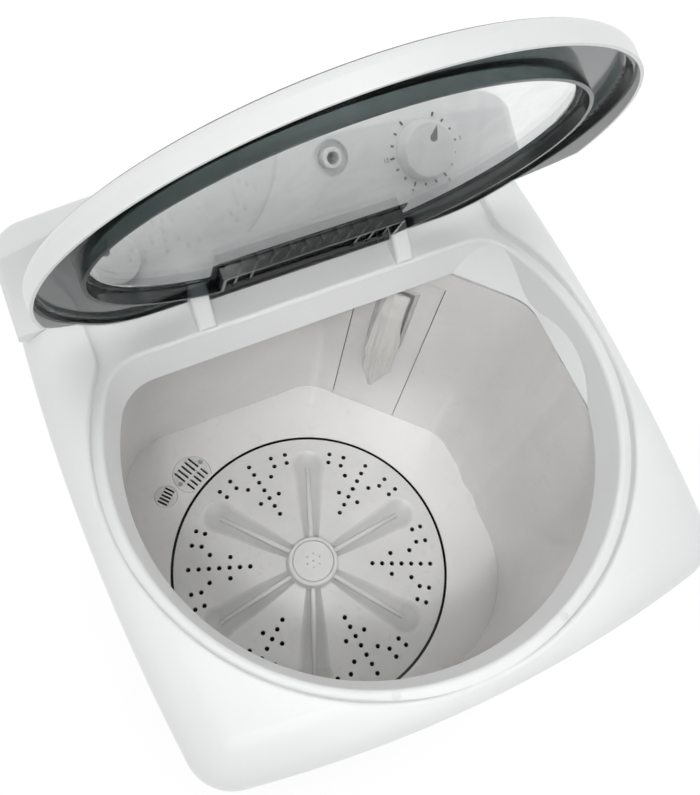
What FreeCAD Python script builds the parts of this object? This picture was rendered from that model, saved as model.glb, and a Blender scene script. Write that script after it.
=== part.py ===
"""Single-tub portable washing machine with a rear console and a smoked lid.

Millimetres, +Z up, front towards -Y. The origin is on the floor, in the middle of the footprint.
The lid stands part open, as it does while the machine is being filled.
"""
import FreeCAD, Part
import math
import os
from FreeCAD import Vector

# Footprint: bowed sides and front, straight back
WIDTH = 500.0
DEPTH = 496.0
FRONT_TAPER = 18.0
BACK_TAPER = 12.0
FRONT_BOW = 24.0
WIDEST_Y = 50.0
FRONT_CORNER_R = 40.0
BACK_CORNER_R = 30.0

# Heights above the floor
FOOT_HEIGHT = 20.0
BASE_HEIGHT = 60.0
FLOOR_Z = 370.0
TUB_DEPTH = 377.0

# General fits
SEAM = 0.4
RUN_FIT = 0.05
FREE_GAP = 0.6
SCREW_FIT = 0.3
FULL_TURN = 360.0

# Top deck
DECK_WALL = 3.0
DECK_SKIRT = 54.0
RIM_RISE = 11.0
EDGE_ROLL = 38.0
COLLAR_DEPTH = 35.0
COLLAR_SPREAD = 26.0
FLANGE_DROP = 40.0
MOUTH_Y = -4.0
MOUTH_SIDE = 40.0
MOUTH_END = 38.0
MOUTH_TO_CONSOLE = 56.0
MOUTH_CORNER_R = 42.0
MOUTH_FLARE = 10.0
SEAT_WIDTH = 9.0
MOUTH_EDGE_R = 4.0
STEP_EDGE_R = 3.0
LEDGE_INSET = 38.0
LEDGE_CORNER_R = 40.0
CONSOLE_DEPTH = 80.0
BOSS_R = 6.0
BOSS_SIDE = 45.0
BOSS_FRONT = 63.0
BOSS_BACK = 30.0

# Lid and its hinge
LID_OPEN = 75.0
LID_RIM_T = 2.5
LID_WALL = 3.0
LID_GAP = 4.0
LID_LIFT = 1.0
LID_HEIGHT = 19.0
LID_EDGE_R = 8.0
LID_CORNER_R = 60.0
LID_TAIL = 4.0
SKIRT_REAR = 8.0
SKIRT_RAMP_END = 50.0
SKIRT_RAMP = 70.0
HINGE_TO_CONSOLE = 18.0
HINGE_RISE = 14.5
HINGE_PIN_R = 4.0
HINGE_PIN_DEPTH = 10.0
HINGE_BARREL_R = 7.0
ARM_X = 95.0
ARM_WIDTH = 17.0
ARM_CROWN = 15.0
ARM_FRONT = 27.0
ARM_BACK = 14.0
ARM_EDGE_R = 3.5
NOTCH_GAP = 3.0
TONGUE_LENGTH = 75.0
TONGUE_RIBS = 12
TONGUE_RIB_T = 2.5
TONGUE_RIB_H = 6.0
TONGUE_RIB_PITCH = 14.0
TONGUE_PLAIN = 40.0
WINDOW_SIDE = 45.0
WINDOW_FRONT = 54.0
WINDOW_REAR = 25.0
WINDOW_LAP = 5.0
WINDOW_T = 2.5
RIB_T = 3.0
RIB_HEIGHT = 13.0
BUFFER_R = 5.5
BUFFER_X = 75.0
BUFFER_HEIGHT = 0.6

# Console
CONSOLE_WALL = 3.0
CONSOLE_LIP = 9.0
CONSOLE_SLOPE = 38.7
CONSOLE_TOP = 65.0
CONSOLE_END_TOP = 50.0
CONSOLE_EDGE_R = 5.0
SCOOP_R = 118.0
SCOOP_RISE = 30.0
SCOOP_DEPTH = 4.0
TIMER_SIDE = 104.0
TIMER_UP = 40.0
TIMER_TURN = 60.0
TIMER_KNOB_R = 27.0
TIMER_KNOB_H = 16.0
TIMER_POINTER_L = 15.0
DRAIN_SIDE = 101.0
DRAIN_UP = 32.0
DRAIN_TURN = 125.0
DRAIN_KNOB_R = 22.5
DRAIN_KNOB_H = 14.0
DRAIN_POINTER_L = 10.0
SPINDLE_R = 4.0
SPINDLE_GRIP = 9.0
KNOB_DRAFT = 2.5
KNOB_EDGE_R = 2.0
POINTER_W = 7.0
POINTER_T = 1.0
POINTER_INSET = 2.5
TIMER_BODY = (54.0, 34.0, 24.0)
TIMER_SCREW_R = 1.8
TIMER_SCREW_X = 20.0
BUSH_DROP = 12.0
CRANK_R = 13.0
CRANK_T = 4.0
CRANK_PIN_R = 2.5
CRANK_PIN_AT = 9.0
CRANK_PIN_H = 6.0
CRANK_PIN_TURN = -135.0
CRANK_DROP = 26.0
INLET_X = 58.0
INLET_UP = 53.0
INLET_BORE_R = 5.6
INLET_R = 9.2
INLET_COLLAR = 2.5
INLET_COLLAR_T = 2.0
INLET_RECESS_R = 16.0
INLET_RECESS_DEPTH = 9.0
INLET_LENGTH = 17.0
CHUTE_R = 8.0
CHUTE_WALL = 2.0
CHUTE_IN = 20.0
CHUTE_DROP = 14.0

# Wash tub, given at its floor; the walls lean outwards going up
TUB_WALL = 3.0
TUB_FLOOR_T = 6.0
TUB_LEFT_GAP = 42.0
TUB_RIGHT_GAP = 54.0
TUB_FRONT_GAP = 36.0
TUB_BACK_GAP = 51.0
TUB_DRAFT = 8.0
TUB_CORNER_CUT = 132.5
TUB_FRONT_R = 140.0
TUB_BACK_R = 70.0
TUB_BEND_R = 45.0
FLUTE_DEPTH = 4.0
FLUTE_R = 14.0
FLUTE_SHARES = (0.16, 0.315, 0.47, 0.62)
FLANGE_T = 3.0

# Filter channel on the diagonal wall
CHANNEL_AT = -17.0
CHANNEL_WIDTH = 86.0
CHANNEL_DEPTH = 14.0
CHANNEL_TOP_GAP = 30.0
COVER_T = 3.0
COVER_GAP = 1.0
COVER_RIB_T = 2.0
FILTER_WIDTH = 41.0
FILTER_DROP = 54.0
FILTER_HEIGHT = 128.0
FILTER_BORDER = 4.0
FILTER_PROUD = 2.0
FILTER_T = 6.0
BAG_DROP = 105.0
BAG_BULGE = 24.0

# Pulsator
PULSATOR_SIDE = 34.0
PULSATOR_END = 36.5
PULSATOR_LEFT = 26.0
PULSATOR_FORWARD = 24.5
PULSATOR_GAP = 3.5
PULSATOR_WELL = 12.0
PULSATOR_T = 9.0
PULSATOR_CONE = 22.0
HUB_R = 31.0
HUB_RISE = 15.0
HUB_EDGE_R = 3.0
CAP_R = 25.0
CAP_T = 5.0
CAP_PROUD = 1.0
CAP_EDGE_R = 2.0
CAP_HOLE_R = 1.2
CAP_HOLE_PCD = 17.0
RIB_TURN = 68.5
SEAM_TURN = 34.5
PETALS = 6
PETAL_DEPTH = 6.5
PETAL_INNER = 10.0
PETAL_OUTER = 36.0
PETAL_MARGIN = 32.0
PETAL_RIB_W = 6.0
PETAL_RIB_MARGIN = 40.0
PETAL_RIB_FALL = 0.6
PETAL_RIB_ROOT = 0.9
JET_R = 2.8
JET_PATTERN_R = 168.0
JET_FIRST = 75.0
JET_PITCH = 12.5
JET_ROW = 7
JET_SIDES = ((99.0, 13.0), (124.0, 17.0), (134.0, 28.0), (146.0, 30.0), (130.0, 44.0), (141.0, 48.0))
SHAFT_R = 7.0
PULSATOR_BOSS_R = 14.0
PULSATOR_SCREW_R = 3.0
PULSATOR_SCREW_L = 24.0

# Floor grilles
GRILLE_BEARING = 118.7
GRILLE_OUT = 20.0
GRILLE_R = 24.0
GRILLE_T = 2.5
GRILLE_SLOTS = 5
SLOT_W = 2.6
SLOT_PITCH = 6.4
SLOT_ROWS = ((-9.0, 17.0), (9.0, 12.0))
GRILLE_SCREW_AT = 19.0
GRILLE_SCREW_R = 1.6
SUMP_R = 15.0
SUMP_DEPTH = 34.0
SUMP_WALL = 2.5
SUMP_SHIFT = 8.0
BLEED_BEARING = 130.8
BLEED_OUT = 30.5
BLEED_R = 14.0
BLEED_SLOT_L = 13.0
BLEED_PITCH = 4.7

# Bearing housing and belt drive
HOUSING_FLANGE_R = 56.0
HOUSING_FLANGE_T = 8.0
HOUSING_R = 26.0
HOUSING_DROP = 112.0
HOUSING_NECK_R = 20.0
HOUSING_RIB_T = 5.0
HOUSING_RIB_SHARE = 0.6
BUSH_R = 12.0
BUSH_L = 22.0
SEAL_T = 6.0
HOUSING_BOLT_R = 3.0
HOUSING_BOLT_PCD = 84.0
BELT_Z = 198.0
BELT_WIDTH = 9.0
BELT_THICKNESS = 7.0
BELT_CLEAR = 0.5
PULLEY_R = 115.0
MOTOR_PULLEY_R = 24.0
PULLEY_FLANGE = 3.0
PULLEY_LIP = 2.0
PULLEY_HUB_R = 18.0
PULLEY_RIM = 8.0
PULLEY_WEB = 4.0
PULLEY_HOLES = 5
PULLEY_HOLE_R = 18.0
PULLEY_NUT_R = 10.0
PULLEY_NUT_H = 7.0
SHAFT_END = 2.0
MOTOR_SPACING = 186.0
MOTOR_BEARING = 45.0
MOTOR_R = 60.0
MOTOR_EDGE_R = 6.0
MOTOR_HEIGHT = 88.0
MOTOR_END_T = 8.0
MOTOR_SHAFT_R = 6.0
MOTOR_SHAFT_END = 4.0
ROTOR_R = 36.0
ROTOR_GAP = 1.0
BRACKET_Z = 84.0
BRACKET_T = 3.0
BRACKET_SIZE = 150.0
BRACKET_CORNER_R = 12.0
POST_SPACING = 124.0
POST_R = 9.0
GROMMET_R = 10.0
GROMMET_H = 8.0
MOTOR_BOLT_R = 2.5
MOTOR_BOLT_PCD = 96.0
BOLT_HEAD = 1.8
CAPACITOR_SIDE = 100.0
CAPACITOR_FRONT = 138.0
CAPACITOR_R = 20.0
CAPACITOR_H = 62.0
CAPACITOR_EDGE_R = 3.0
CAPACITOR_CUP = 18.0
TAB_X = 7.0
TAB_T = 1.0
TAB_W = 6.0
TAB_H = 9.0

# Drain valve behind the tub
VALVE_BACK = 26.0
VALVE_RISE = 2.0
VALVE_R = 17.0
VALVE_BORE_R = 14.0
VALVE_HEIGHT = 72.0
VALVE_FLOOR = 4.0
VALVE_SEAT_R = 9.0
VALVE_DISC_R = 12.0
VALVE_DISC_T = 3.5
VALVE_SEAL_R = 11.0
VALVE_SEAL_T = 3.0
VALVE_LIFT = 8.0
VALVE_STEM_R = 4.0
VALVE_STEM_OUT = 22.0
VALVE_CAP_T = 4.0
SPRING_R = 8.0
SPRING_WIRE_R = 0.7
SPRING_TURNS = 7
PULL_W = 12.0
PULL_T = 1.5
PULL_GAP = 2.0
PULL_SLOT_SIDE = 1.6
PULL_SLOT_THICK = 3.2
PIPE_R = 11.0
PIPE_BORE_R = 9.0
OUTLET_BACK = 76.0
OUTLET_Z = 130.0
OUTLET_NECK = 24.0
OUTLET_R = 13.0
OUTLET_BORE_R = 10.0
OUTLET_SOCKET_R = 11.0
OUTLET_SOCKET_L = 28.0
OUTLET_HOLE_R = 22.0
OUTLET_SET_BACK = 3.0

# Cabinet, base and rear cover
CABINET_WALL = 2.5
BASE_WALL = 4.0
FOOT_R = 22.0
FOOT_CHAMFER = 2.0
FOOT_STEM_R = 8.0
FOOT_SIDE = 75.0
FOOT_FRONT = 78.0
FOOT_BACK = 58.0
COVER_PLATE_T = 1.5
COVER_SIDE = 72.0
COVER_Z = 110.0
COVER_HEIGHT = 470.0
COVER_LAP = 14.0
PANEL_SCREW_R = 2.0
PANEL_SCREW_HEAD_R = 4.0
PANEL_SCREW_HEAD_T = 1.4
PANEL_SCREW_L = 8.0
VENT_COUNT = 9
VENT_W = 6.0
VENT_H = 70.0
VENT_PITCH = 16.0
GLAND_X = 130.0
GLAND_Z = 150.0
GLAND_R = 11.0
GLAND_NECK = 2.0
GLAND_NUT_T = 4.0
GLAND_BORE_R = 4.0
GLAND_L = 18.0
DECK_SCREW_R = 2.0
DECK_SCREW_L = 16.0

# Places worked out from the sizes above
FRONT_Y = -DEPTH / 2
BACK_Y = DEPTH / 2
FRONT_HALF_WIDTH = WIDTH / 2 - FRONT_TAPER
BACK_HALF_WIDTH = WIDTH / 2 - BACK_TAPER
FLANGE_Z = FLOOR_Z + TUB_DEPTH
SEAT_Z = FLANGE_Z + FLANGE_DROP
RIM_Z = SEAT_Z + RIM_RISE
DECK_BOTTOM = SEAT_Z - DECK_SKIRT
COLLAR_Z = SEAT_Z - COLLAR_DEPTH
WELL_Z = FLOOR_Z - PULSATOR_WELL
TUB_UNDER_Z = WELL_Z - TUB_FLOOR_T
CABINET_INSET = DECK_WALL + SEAM
BASE_TOP = FOOT_HEIGHT + BASE_HEIGHT
CONSOLE_Y = BACK_Y - CONSOLE_DEPTH
TIMER_X = WIDTH / 2 - TIMER_SIDE
TIMER_Y = CONSOLE_Y + TIMER_UP
DRAIN_KNOB_X = DRAIN_SIDE - WIDTH / 2
DRAIN_KNOB_Y = CONSOLE_Y + DRAIN_UP
INLET_Y = CONSOLE_Y + INLET_UP
CHUTE_Y = CONSOLE_Y + CHUTE_IN
MOUTH_R = min(WIDTH / 2 - MOUTH_SIDE, DEPTH / 2 - MOUTH_END)
MOUTH_FLAT_Y = CONSOLE_Y - MOUTH_TO_CONSOLE
RECESS_R = MOUTH_R + MOUTH_FLARE + SEAT_WIDTH
LEDGE_HALF_WIDTH = RECESS_R - LEDGE_INSET
LID_R = RECESS_R - LID_GAP
LID_LOW_Z = SEAT_Z + LID_LIFT
LID_TOP_Z = LID_LOW_Z + LID_HEIGHT
LID_FRONT_Y = MOUTH_Y - LID_R
HINGE_Y = CONSOLE_Y - HINGE_TO_CONSOLE
HINGE_Z = SEAT_Z + HINGE_RISE
TONGUE_Y = HINGE_Y - TONGUE_LENGTH
TONGUE_HALF = ARM_X - ARM_WIDTH / 2 - FREE_GAP
WINDOW_Y = (LID_FRONT_Y + WINDOW_FRONT + HINGE_Y - WINDOW_REAR) / 2
WINDOW_HALF_WIDTH = LID_R - WINDOW_SIDE
WINDOW_HALF_DEPTH = HINGE_Y - WINDOW_REAR - WINDOW_Y
TUB_LEFT = TUB_LEFT_GAP - WIDTH / 2
TUB_RIGHT = WIDTH / 2 - TUB_RIGHT_GAP
TUB_FRONT = FRONT_Y + TUB_FRONT_GAP
TUB_BACK = BACK_Y - TUB_BACK_GAP
TUB_DIAGONAL = TUB_RIGHT + TUB_BACK - TUB_CORNER_CUT
FILTER_BOTTOM = TUB_DEPTH - FILTER_DROP - FILTER_HEIGHT
PULSATOR_R = min((TUB_RIGHT - TUB_LEFT) / 2 - PULSATOR_SIDE, (TUB_BACK - TUB_FRONT) / 2 - PULSATOR_END)
PULSATOR_X = (TUB_LEFT + TUB_RIGHT) / 2 - PULSATOR_LEFT
PULSATOR_Y = (TUB_FRONT + TUB_BACK) / 2 - PULSATOR_FORWARD
WELL_R = PULSATOR_R + PULSATOR_GAP
PETAL_END = PULSATOR_R - PETAL_MARGIN
PETAL_RIB_END = PULSATOR_R - PETAL_RIB_MARGIN
GRILLE_X = PULSATOR_X + (WELL_R + GRILLE_OUT) * math.cos(math.radians(GRILLE_BEARING))
GRILLE_Y = PULSATOR_Y + (WELL_R + GRILLE_OUT) * math.sin(math.radians(GRILLE_BEARING))
BLEED_X = PULSATOR_X + (WELL_R + BLEED_OUT) * math.cos(math.radians(BLEED_BEARING))
BLEED_Y = PULSATOR_Y + (WELL_R + BLEED_OUT) * math.sin(math.radians(BLEED_BEARING))
MOTOR_X = PULSATOR_X + MOTOR_SPACING * math.cos(math.radians(MOTOR_BEARING))
MOTOR_Y = PULSATOR_Y + MOTOR_SPACING * math.sin(math.radians(MOTOR_BEARING))
CAPACITOR_X = WIDTH / 2 - CAPACITOR_SIDE
CAPACITOR_Y = FRONT_Y + CAPACITOR_FRONT
VALVE_Y = BACK_Y - VALVE_BACK
VALVE_TOP_Z = FLOOR_Z + VALVE_RISE
OUTLET_Y = BACK_Y - OUTLET_BACK
FOOT_X = WIDTH / 2 - FOOT_SIDE
FOOT_FRONT_Y = FRONT_Y + FOOT_FRONT
FOOT_BACK_Y = BACK_Y - FOOT_BACK
COVER_HALF_WIDTH = WIDTH / 2 - COVER_SIDE
AXIS = Vector(PULSATOR_X, PULSATOR_Y, 0)
UP = Vector(0, 0, 1)
DOWN = Vector(0, 0, -1)
RIGHT = Vector(1, 0, 0)
BACKWARDS = Vector(0, 1, 0)
BIG = WIDTH + DEPTH


def at(x, y, z):
    return Vector(x, y, z)


def block(x0, x1, y0, y1, z0, z1):
    return Part.makeBox(x1 - x0, y1 - y0, z1 - z0, at(x0, y0, z0))


def rod(radius, foot, length, direction=UP):
    return Part.makeCylinder(radius, length, foot, direction)


def tube(radius, bore, foot, length, direction=UP):
    return rod(radius, foot, length, direction).cut(rod(bore, foot, length, direction))


def joined(*pieces):
    return pieces[0].multiFuse(list(pieces[1:])).removeSplitter()


def group(pieces):
    return Part.makeCompound(pieces)


def save(node, shape):
    shape.exportStep("parts/%s.step" % node)


def upright_edges(shape, height):
    found = []
    for edge in shape.Edges:
        low, high = edge.BoundBox.ZMin, edge.BoundBox.ZMax
        flat = edge.BoundBox.XLength < 0.01 and edge.BoundBox.YLength < 0.01
        if flat and abs(high - low - height) < 0.01:
            found.append(edge)
    return found


def footprint(inset, z0, z1):
    """Prism of the machine's plan, drawn in by an inset."""
    half = WIDTH / 2 - inset
    front_half = FRONT_HALF_WIDTH - inset
    back_half = BACK_HALF_WIDTH - inset
    front = FRONT_Y + inset
    back = BACK_Y - inset
    front_corner = front + FRONT_BOW
    back_left = at(-back_half, back, z0)
    front_left = at(-front_half, front_corner, z0)
    front_right = at(front_half, front_corner, z0)
    back_right = at(back_half, back, z0)
    edges = [
        Part.Arc(back_left, at(-half, WIDEST_Y, z0), front_left).toShape(),
        Part.Arc(front_left, at(0, front, z0), front_right).toShape(),
        Part.Arc(front_right, at(half, WIDEST_Y, z0), back_right).toShape(),
        Part.LineSegment(back_right, back_left).toShape(),
    ]
    prism = Part.Face(Part.Wire(edges)).extrude(UP * (z1 - z0))
    corners = upright_edges(prism, z1 - z0)
    front_edges = [e for e in corners if e.BoundBox.YMax < 0]
    prism = prism.makeFillet(FRONT_CORNER_R - inset, front_edges)
    back_edges = [e for e in upright_edges(prism, z1 - z0) if abs(e.BoundBox.YMin - back) < 0.01]
    return prism.makeFillet(BACK_CORNER_R - inset, back_edges)


def half_moon(radius, flat_y, corner_r, z):
    """Wire of a circle about the mouth's centre, cut flat at the back with rounded corners."""
    inner_y = flat_y - corner_r
    reach = radius - corner_r
    inner_x = math.sqrt(reach ** 2 - (inner_y - MOUTH_Y) ** 2)
    grow = radius / reach
    touch_x = inner_x * grow
    touch_y = MOUTH_Y + (inner_y - MOUTH_Y) * grow
    turn = (math.pi / 2 + math.atan2(inner_y - MOUTH_Y, inner_x)) / 2
    mid_x = inner_x + corner_r * math.cos(turn)
    mid_y = inner_y + corner_r * math.sin(turn)
    edges = [
        Part.LineSegment(at(-inner_x, flat_y, z), at(inner_x, flat_y, z)).toShape(),
        Part.Arc(at(inner_x, flat_y, z), at(mid_x, mid_y, z), at(touch_x, touch_y, z)).toShape(),
        Part.Arc(at(touch_x, touch_y, z), at(0, MOUTH_Y - radius, z), at(-touch_x, touch_y, z)).toShape(),
        Part.Arc(at(-touch_x, touch_y, z), at(-mid_x, mid_y, z), at(-inner_x, flat_y, z)).toShape(),
    ]
    return Part.Wire(edges)


def half_moon_prism(radius, flat_y, corner_r, z0, z1):
    return Part.Face(half_moon(radius, flat_y, corner_r, z0)).extrude(UP * (z1 - z0))


def rounded_wire(points, radii, z):
    """Closed wire through the points, each corner rounded by its own radius."""
    count = len(points)
    edges = []
    last = None
    first = None
    for i in range(count):
        here = at(points[i][0], points[i][1], z)
        before = at(points[i - 1][0], points[i - 1][1], z)
        after = at(points[(i + 1) % count][0], points[(i + 1) % count][1], z)
        to_before = (before - here).normalize()
        to_after = (after - here).normalize()
        half_angle = to_before.getAngle(to_after) / 2
        back_off = radii[i] / math.tan(half_angle)
        start = here + to_before * back_off
        end = here + to_after * back_off
        bisector = (to_before + to_after).normalize()
        middle = here + bisector * (radii[i] / math.sin(half_angle) - radii[i])
        if last is not None:
            edges.append(Part.LineSegment(last, start).toShape())
        else:
            first = start
        edges.append(Part.Arc(start, middle, end).toShape())
        last = end
    edges.append(Part.LineSegment(last, first).toShape())
    return Part.Wire(edges)


def moved_out(points, distance):
    """The corner points of a polygon, counter-clockwise, with every side moved outwards."""
    count = len(points)
    result = []
    for i in range(count):
        p, q, r = points[i - 1], points[i], points[(i + 1) % count]
        first = Vector(q[0] - p[0], q[1] - p[1], 0).normalize()
        second = Vector(r[0] - q[0], r[1] - q[1], 0).normalize()
        n1 = Vector(first.y, -first.x, 0)
        n2 = Vector(second.y, -second.x, 0)
        bisector = (n1 + n2).normalize()
        step = distance / bisector.dot(n1)
        result.append((q[0] + bisector.x * step, q[1] + bisector.y * step))
    return result


def tub_points(lean, flute):
    """Corners and radii of the tub's inside.

    Lean is how far the walls stand outside the floor's edge; flute is how far the side flutes stand out.
    """
    left = TUB_LEFT - lean
    right = TUB_RIGHT + lean
    front = TUB_FRONT - lean
    back = TUB_BACK + lean
    start = TUB_FRONT + TUB_FRONT_R
    run = TUB_DIAGONAL - TUB_RIGHT - start
    steps = []
    if flute > 0:
        steps = [(start + run * share, flute * (i % 2)) for i, share in enumerate(FLUTE_SHARES)]
    points = [(left, front), (right, front)]
    points += [(right + step, y) for y, step in steps]
    points += [(right, TUB_DIAGONAL - right), (TUB_DIAGONAL - back, back), (left, back)]
    points += [(left - step, y) for y, step in reversed(steps)]
    flute_radii = [FLUTE_R] * len(steps)
    radii = [TUB_FRONT_R, TUB_FRONT_R] + flute_radii + [TUB_BEND_R, TUB_BEND_R, TUB_BACK_R] + flute_radii
    return points, radii


def tub_form(grow, z0, z1):
    """Solid of the tub's leaning walls, grown outwards by a wall."""
    wires = []
    for z in (z0, z1):
        points, radii = tub_points(TUB_DRAFT * (z - FLOOR_Z) / TUB_DEPTH, FLUTE_DEPTH)
        wires.append(rounded_wire(moved_out(points, grow), radii, z))
    return Part.makeLoft(wires, True, True)


def on_diagonal(shape):
    """From the diagonal wall's own frame (x along it, y outwards) to the machine's."""
    placed = shape.copy()
    placed.rotate(at(0, 0, 0), UP, -45)
    placed.translate(at(TUB_DIAGONAL / 2, TUB_DIAGONAL / 2, 0))
    return placed


def slope_z(y):
    return SEAT_Z + CONSOLE_LIP + (y - CONSOLE_Y) * math.tan(math.radians(CONSOLE_SLOPE))


def on_slope(shape, x, y):
    """From a frame on the console's sloping face (z out of it, y up it) to the machine's."""
    placed = shape.copy()
    placed.rotate(at(0, 0, 0), RIGHT, CONSOLE_SLOPE)
    placed.translate(at(x, y, slope_z(y)))
    return placed


def ring_places(count, radius, turn=0.0):
    angles = [math.radians(turn + FULL_TURN * i / count) for i in range(count)]
    return [(radius * math.cos(a), radius * math.sin(a)) for a in angles]


def boss_places():
    x = WIDTH / 2 - BOSS_SIDE
    return [(s * x, y) for y in (FRONT_Y + BOSS_FRONT, BACK_Y - BOSS_BACK) for s in (-1, 1)]


def collar_wire(out, z):
    """The tub's outline at its top, without flutes, moved out."""
    points, radii = tub_points(TUB_DRAFT, 0.0)
    return rounded_wire(moved_out(points, out), radii, z)


def mouth_hollow(grow, bottom):
    """The mouth and the lid's recess as one hollow, grown by a wall; its foot follows the tub's outline."""
    seat = SEAT_Z - grow
    top_flat = MOUTH_FLAT_Y + MOUTH_FLARE
    upper = half_moon(MOUTH_R + MOUTH_FLARE + grow, top_flat + grow, MOUTH_CORNER_R + grow, seat)
    lower = half_moon(MOUTH_R + grow, MOUTH_FLAT_Y + grow, MOUTH_CORNER_R + grow, COLLAR_Z)
    foot = collar_wire(grow - FREE_GAP, COLLAR_Z)
    spread = Part.makeLoft([foot, collar_wire(grow + COLLAR_SPREAD, SEAT_Z)], True, True)
    funnel = Part.makeLoft([lower, upper], True, True).common(spread)
    recess = rod(RECESS_R + grow, at(0, MOUTH_Y, seat), RIM_RISE * 3 + grow)
    ledge = block(-LEDGE_HALF_WIDTH - grow, LEDGE_HALF_WIDTH + grow, MOUTH_Y, CONSOLE_Y, seat, RIM_Z * 2)
    rear = block(-WIDTH, WIDTH, CONSOLE_Y - grow, DEPTH, seat, RIM_Z * 2)
    pieces = [funnel, recess, ledge, rear]
    if bottom < COLLAR_Z:
        drop = DOWN * (COLLAR_Z - bottom)
        pieces.append(Part.Face(lower).extrude(drop).common(Part.Face(foot).extrude(drop)))
    return joined(*pieces)


def top_deck():
    outer = footprint(0.0, DECK_BOTTOM, RIM_Z)
    top_edges = [e for e in outer.Edges if e.BoundBox.ZMin > RIM_Z - 0.01]
    outer = outer.makeFillet(EDGE_ROLL, top_edges)
    inner = footprint(DECK_WALL, DECK_BOTTOM - 1, RIM_Z - DECK_WALL)
    inner_top = [e for e in inner.Edges if e.BoundBox.ZMin > RIM_Z - DECK_WALL - 0.01]
    inner = inner.makeFillet(EDGE_ROLL - DECK_WALL, inner_top)
    bosses = [rod(BOSS_R, at(x, y, FLANGE_Z), RIM_Z - FLANGE_Z) for x, y in boss_places()]
    cavity = inner.cut(mouth_hollow(DECK_WALL, COLLAR_Z)).cut(group(bosses))
    deck = outer.cut(cavity).cut(mouth_hollow(0.0, DECK_BOTTOM - 2)).Solids[0]
    deck = deck.makeFillet(LEDGE_CORNER_R, ledge_corners(deck))
    deck = deck.makeFillet(MOUTH_EDGE_R, mouth_edges(deck))
    deck = deck.makeFillet(STEP_EDGE_R, step_edges(deck))
    holes = [rod(DECK_SCREW_R, at(x, y, FLANGE_Z), DECK_SCREW_L) for x, y in boss_places()]
    holes.append(rod(CHUTE_R + SEAM, at(INLET_X, CHUTE_Y, SEAT_Z - 2 * DECK_WALL), 4 * DECK_WALL))
    holes.append(pull_slot(SEAT_Z))
    for x in (-BUFFER_X, BUFFER_X):
        holes.append(rod(BUFFER_R / 2, buffer_place(x) - UP * DECK_WALL * 2, 3 * DECK_WALL))
    return deck.cut(group(holes))


def ledge_corners(deck):
    """Upright edges where the sides of the hinge ledge run into the recess."""
    found = []
    for edge in upright_edges(deck, RIM_RISE):
        span = edge.BoundBox
        if span.YMax < CONSOLE_Y - 1 and abs(abs(span.XMin) - LEDGE_HALF_WIDTH) < 0.01:
            found.append(edge)
    return found


def mouth_edges(deck):
    """Upper edge of the mouth's wall, at the seat."""
    found = []
    for edge in deck.Edges:
        span = edge.BoundBox
        level = abs(span.ZMin - SEAT_Z) < 0.01 and abs(span.ZMax - SEAT_Z) < 0.01
        inside = span.YMax < MOUTH_FLAT_Y + MOUTH_FLARE + 1 and span.XMax < MOUTH_R + MOUTH_FLARE + 1
        if level and inside and span.YMin > MOUTH_Y - MOUTH_R - MOUTH_FLARE - 1:
            found.append(edge)
    return found


def step_edges(deck):
    """Top edge of the step round the lid's seat."""
    found = []
    for edge in deck.Edges:
        span = edge.BoundBox
        near = edge.valueAt((edge.FirstParameter + edge.LastParameter) / 2)
        reach = math.hypot(near.x, near.y - MOUTH_Y)
        if span.ZMin > SEAT_Z + 1 and abs(reach - RECESS_R) < 0.05 and near.z > SEAT_Z + 2:
            found.append(edge)
    return found


def buffer_place(x):
    seat_mid = RECESS_R - SEAT_WIDTH / 2
    return at(x, MOUTH_Y - math.sqrt(seat_mid ** 2 - x ** 2), SEAT_Z)


def lid_buffers():
    pads = []
    for x in (-BUFFER_X, BUFFER_X):
        foot = buffer_place(x)
        pad = rod(SEAT_WIDTH * 0.4, foot, BUFFER_HEIGHT)
        stem = rod(BUFFER_R / 2 - RUN_FIT, foot - UP * DECK_WALL, DECK_WALL)
        pads.append(joined(pad, stem))
    return group(pads)


def pull_slot(z):
    """Hole that the valve's pull strap passes through, in a level plate near z."""
    half = PULL_W / 2 + PULL_SLOT_SIDE
    thick = PULL_T / 2 + PULL_SLOT_THICK
    return block(DRAIN_KNOB_X - half, DRAIN_KNOB_X + half, VALVE_Y - thick, VALVE_Y + thick,
                 z - 4 * DECK_WALL, z + 2 * DECK_WALL)


def deck_screws():
    screws = []
    for x, y in boss_places():
        head_z = FLANGE_Z - FLANGE_T
        head = rod(DECK_SCREW_R * 2, at(x, y, head_z - DECK_SCREW_R), DECK_SCREW_R)
        shank = rod(DECK_SCREW_R, at(x, y, head_z), DECK_SCREW_L)
        screws.append(joined(head, shank))
    return group(screws)


def console_form(inset, base_z):
    """Solid of the console, drawn in by a wall on every side but its underside."""
    lift = inset / math.cos(math.radians(CONSOLE_SLOPE))
    front = CONSOLE_Y + SEAM + inset
    body = footprint(inset, base_z, SEAT_Z + CONSOLE_TOP * 2)
    body = body.common(block(-WIDTH, WIDTH, front, DEPTH, base_z, SEAT_Z + CONSOLE_TOP * 2))
    low = slope_z(front) - lift
    high = slope_z(front + DEPTH) - lift
    low_edge = at(-WIDTH, front - 1, low - math.tan(math.radians(CONSOLE_SLOPE)))
    above = [low_edge, at(-WIDTH, front + DEPTH, high)]
    above += [at(-WIDTH, front - 1, high), above[0]]
    sky = Part.Face(Part.makePolygon(above)).extrude(RIGHT * WIDTH * 2)
    body = body.cut(sky)
    sag = CONSOLE_TOP - CONSOLE_END_TOP
    arch_r = (BACK_HALF_WIDTH ** 2 + sag ** 2) / (2 * sag)
    crown = SEAT_Z + CONSOLE_TOP - inset
    arch = rod(arch_r, at(0, 0, crown - arch_r), DEPTH * 2, BACKWARDS)
    arch.rotate(at(0, 0, crown - arch_r), BACKWARDS, 180)
    return body.common(arch).Solids[0]


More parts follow.
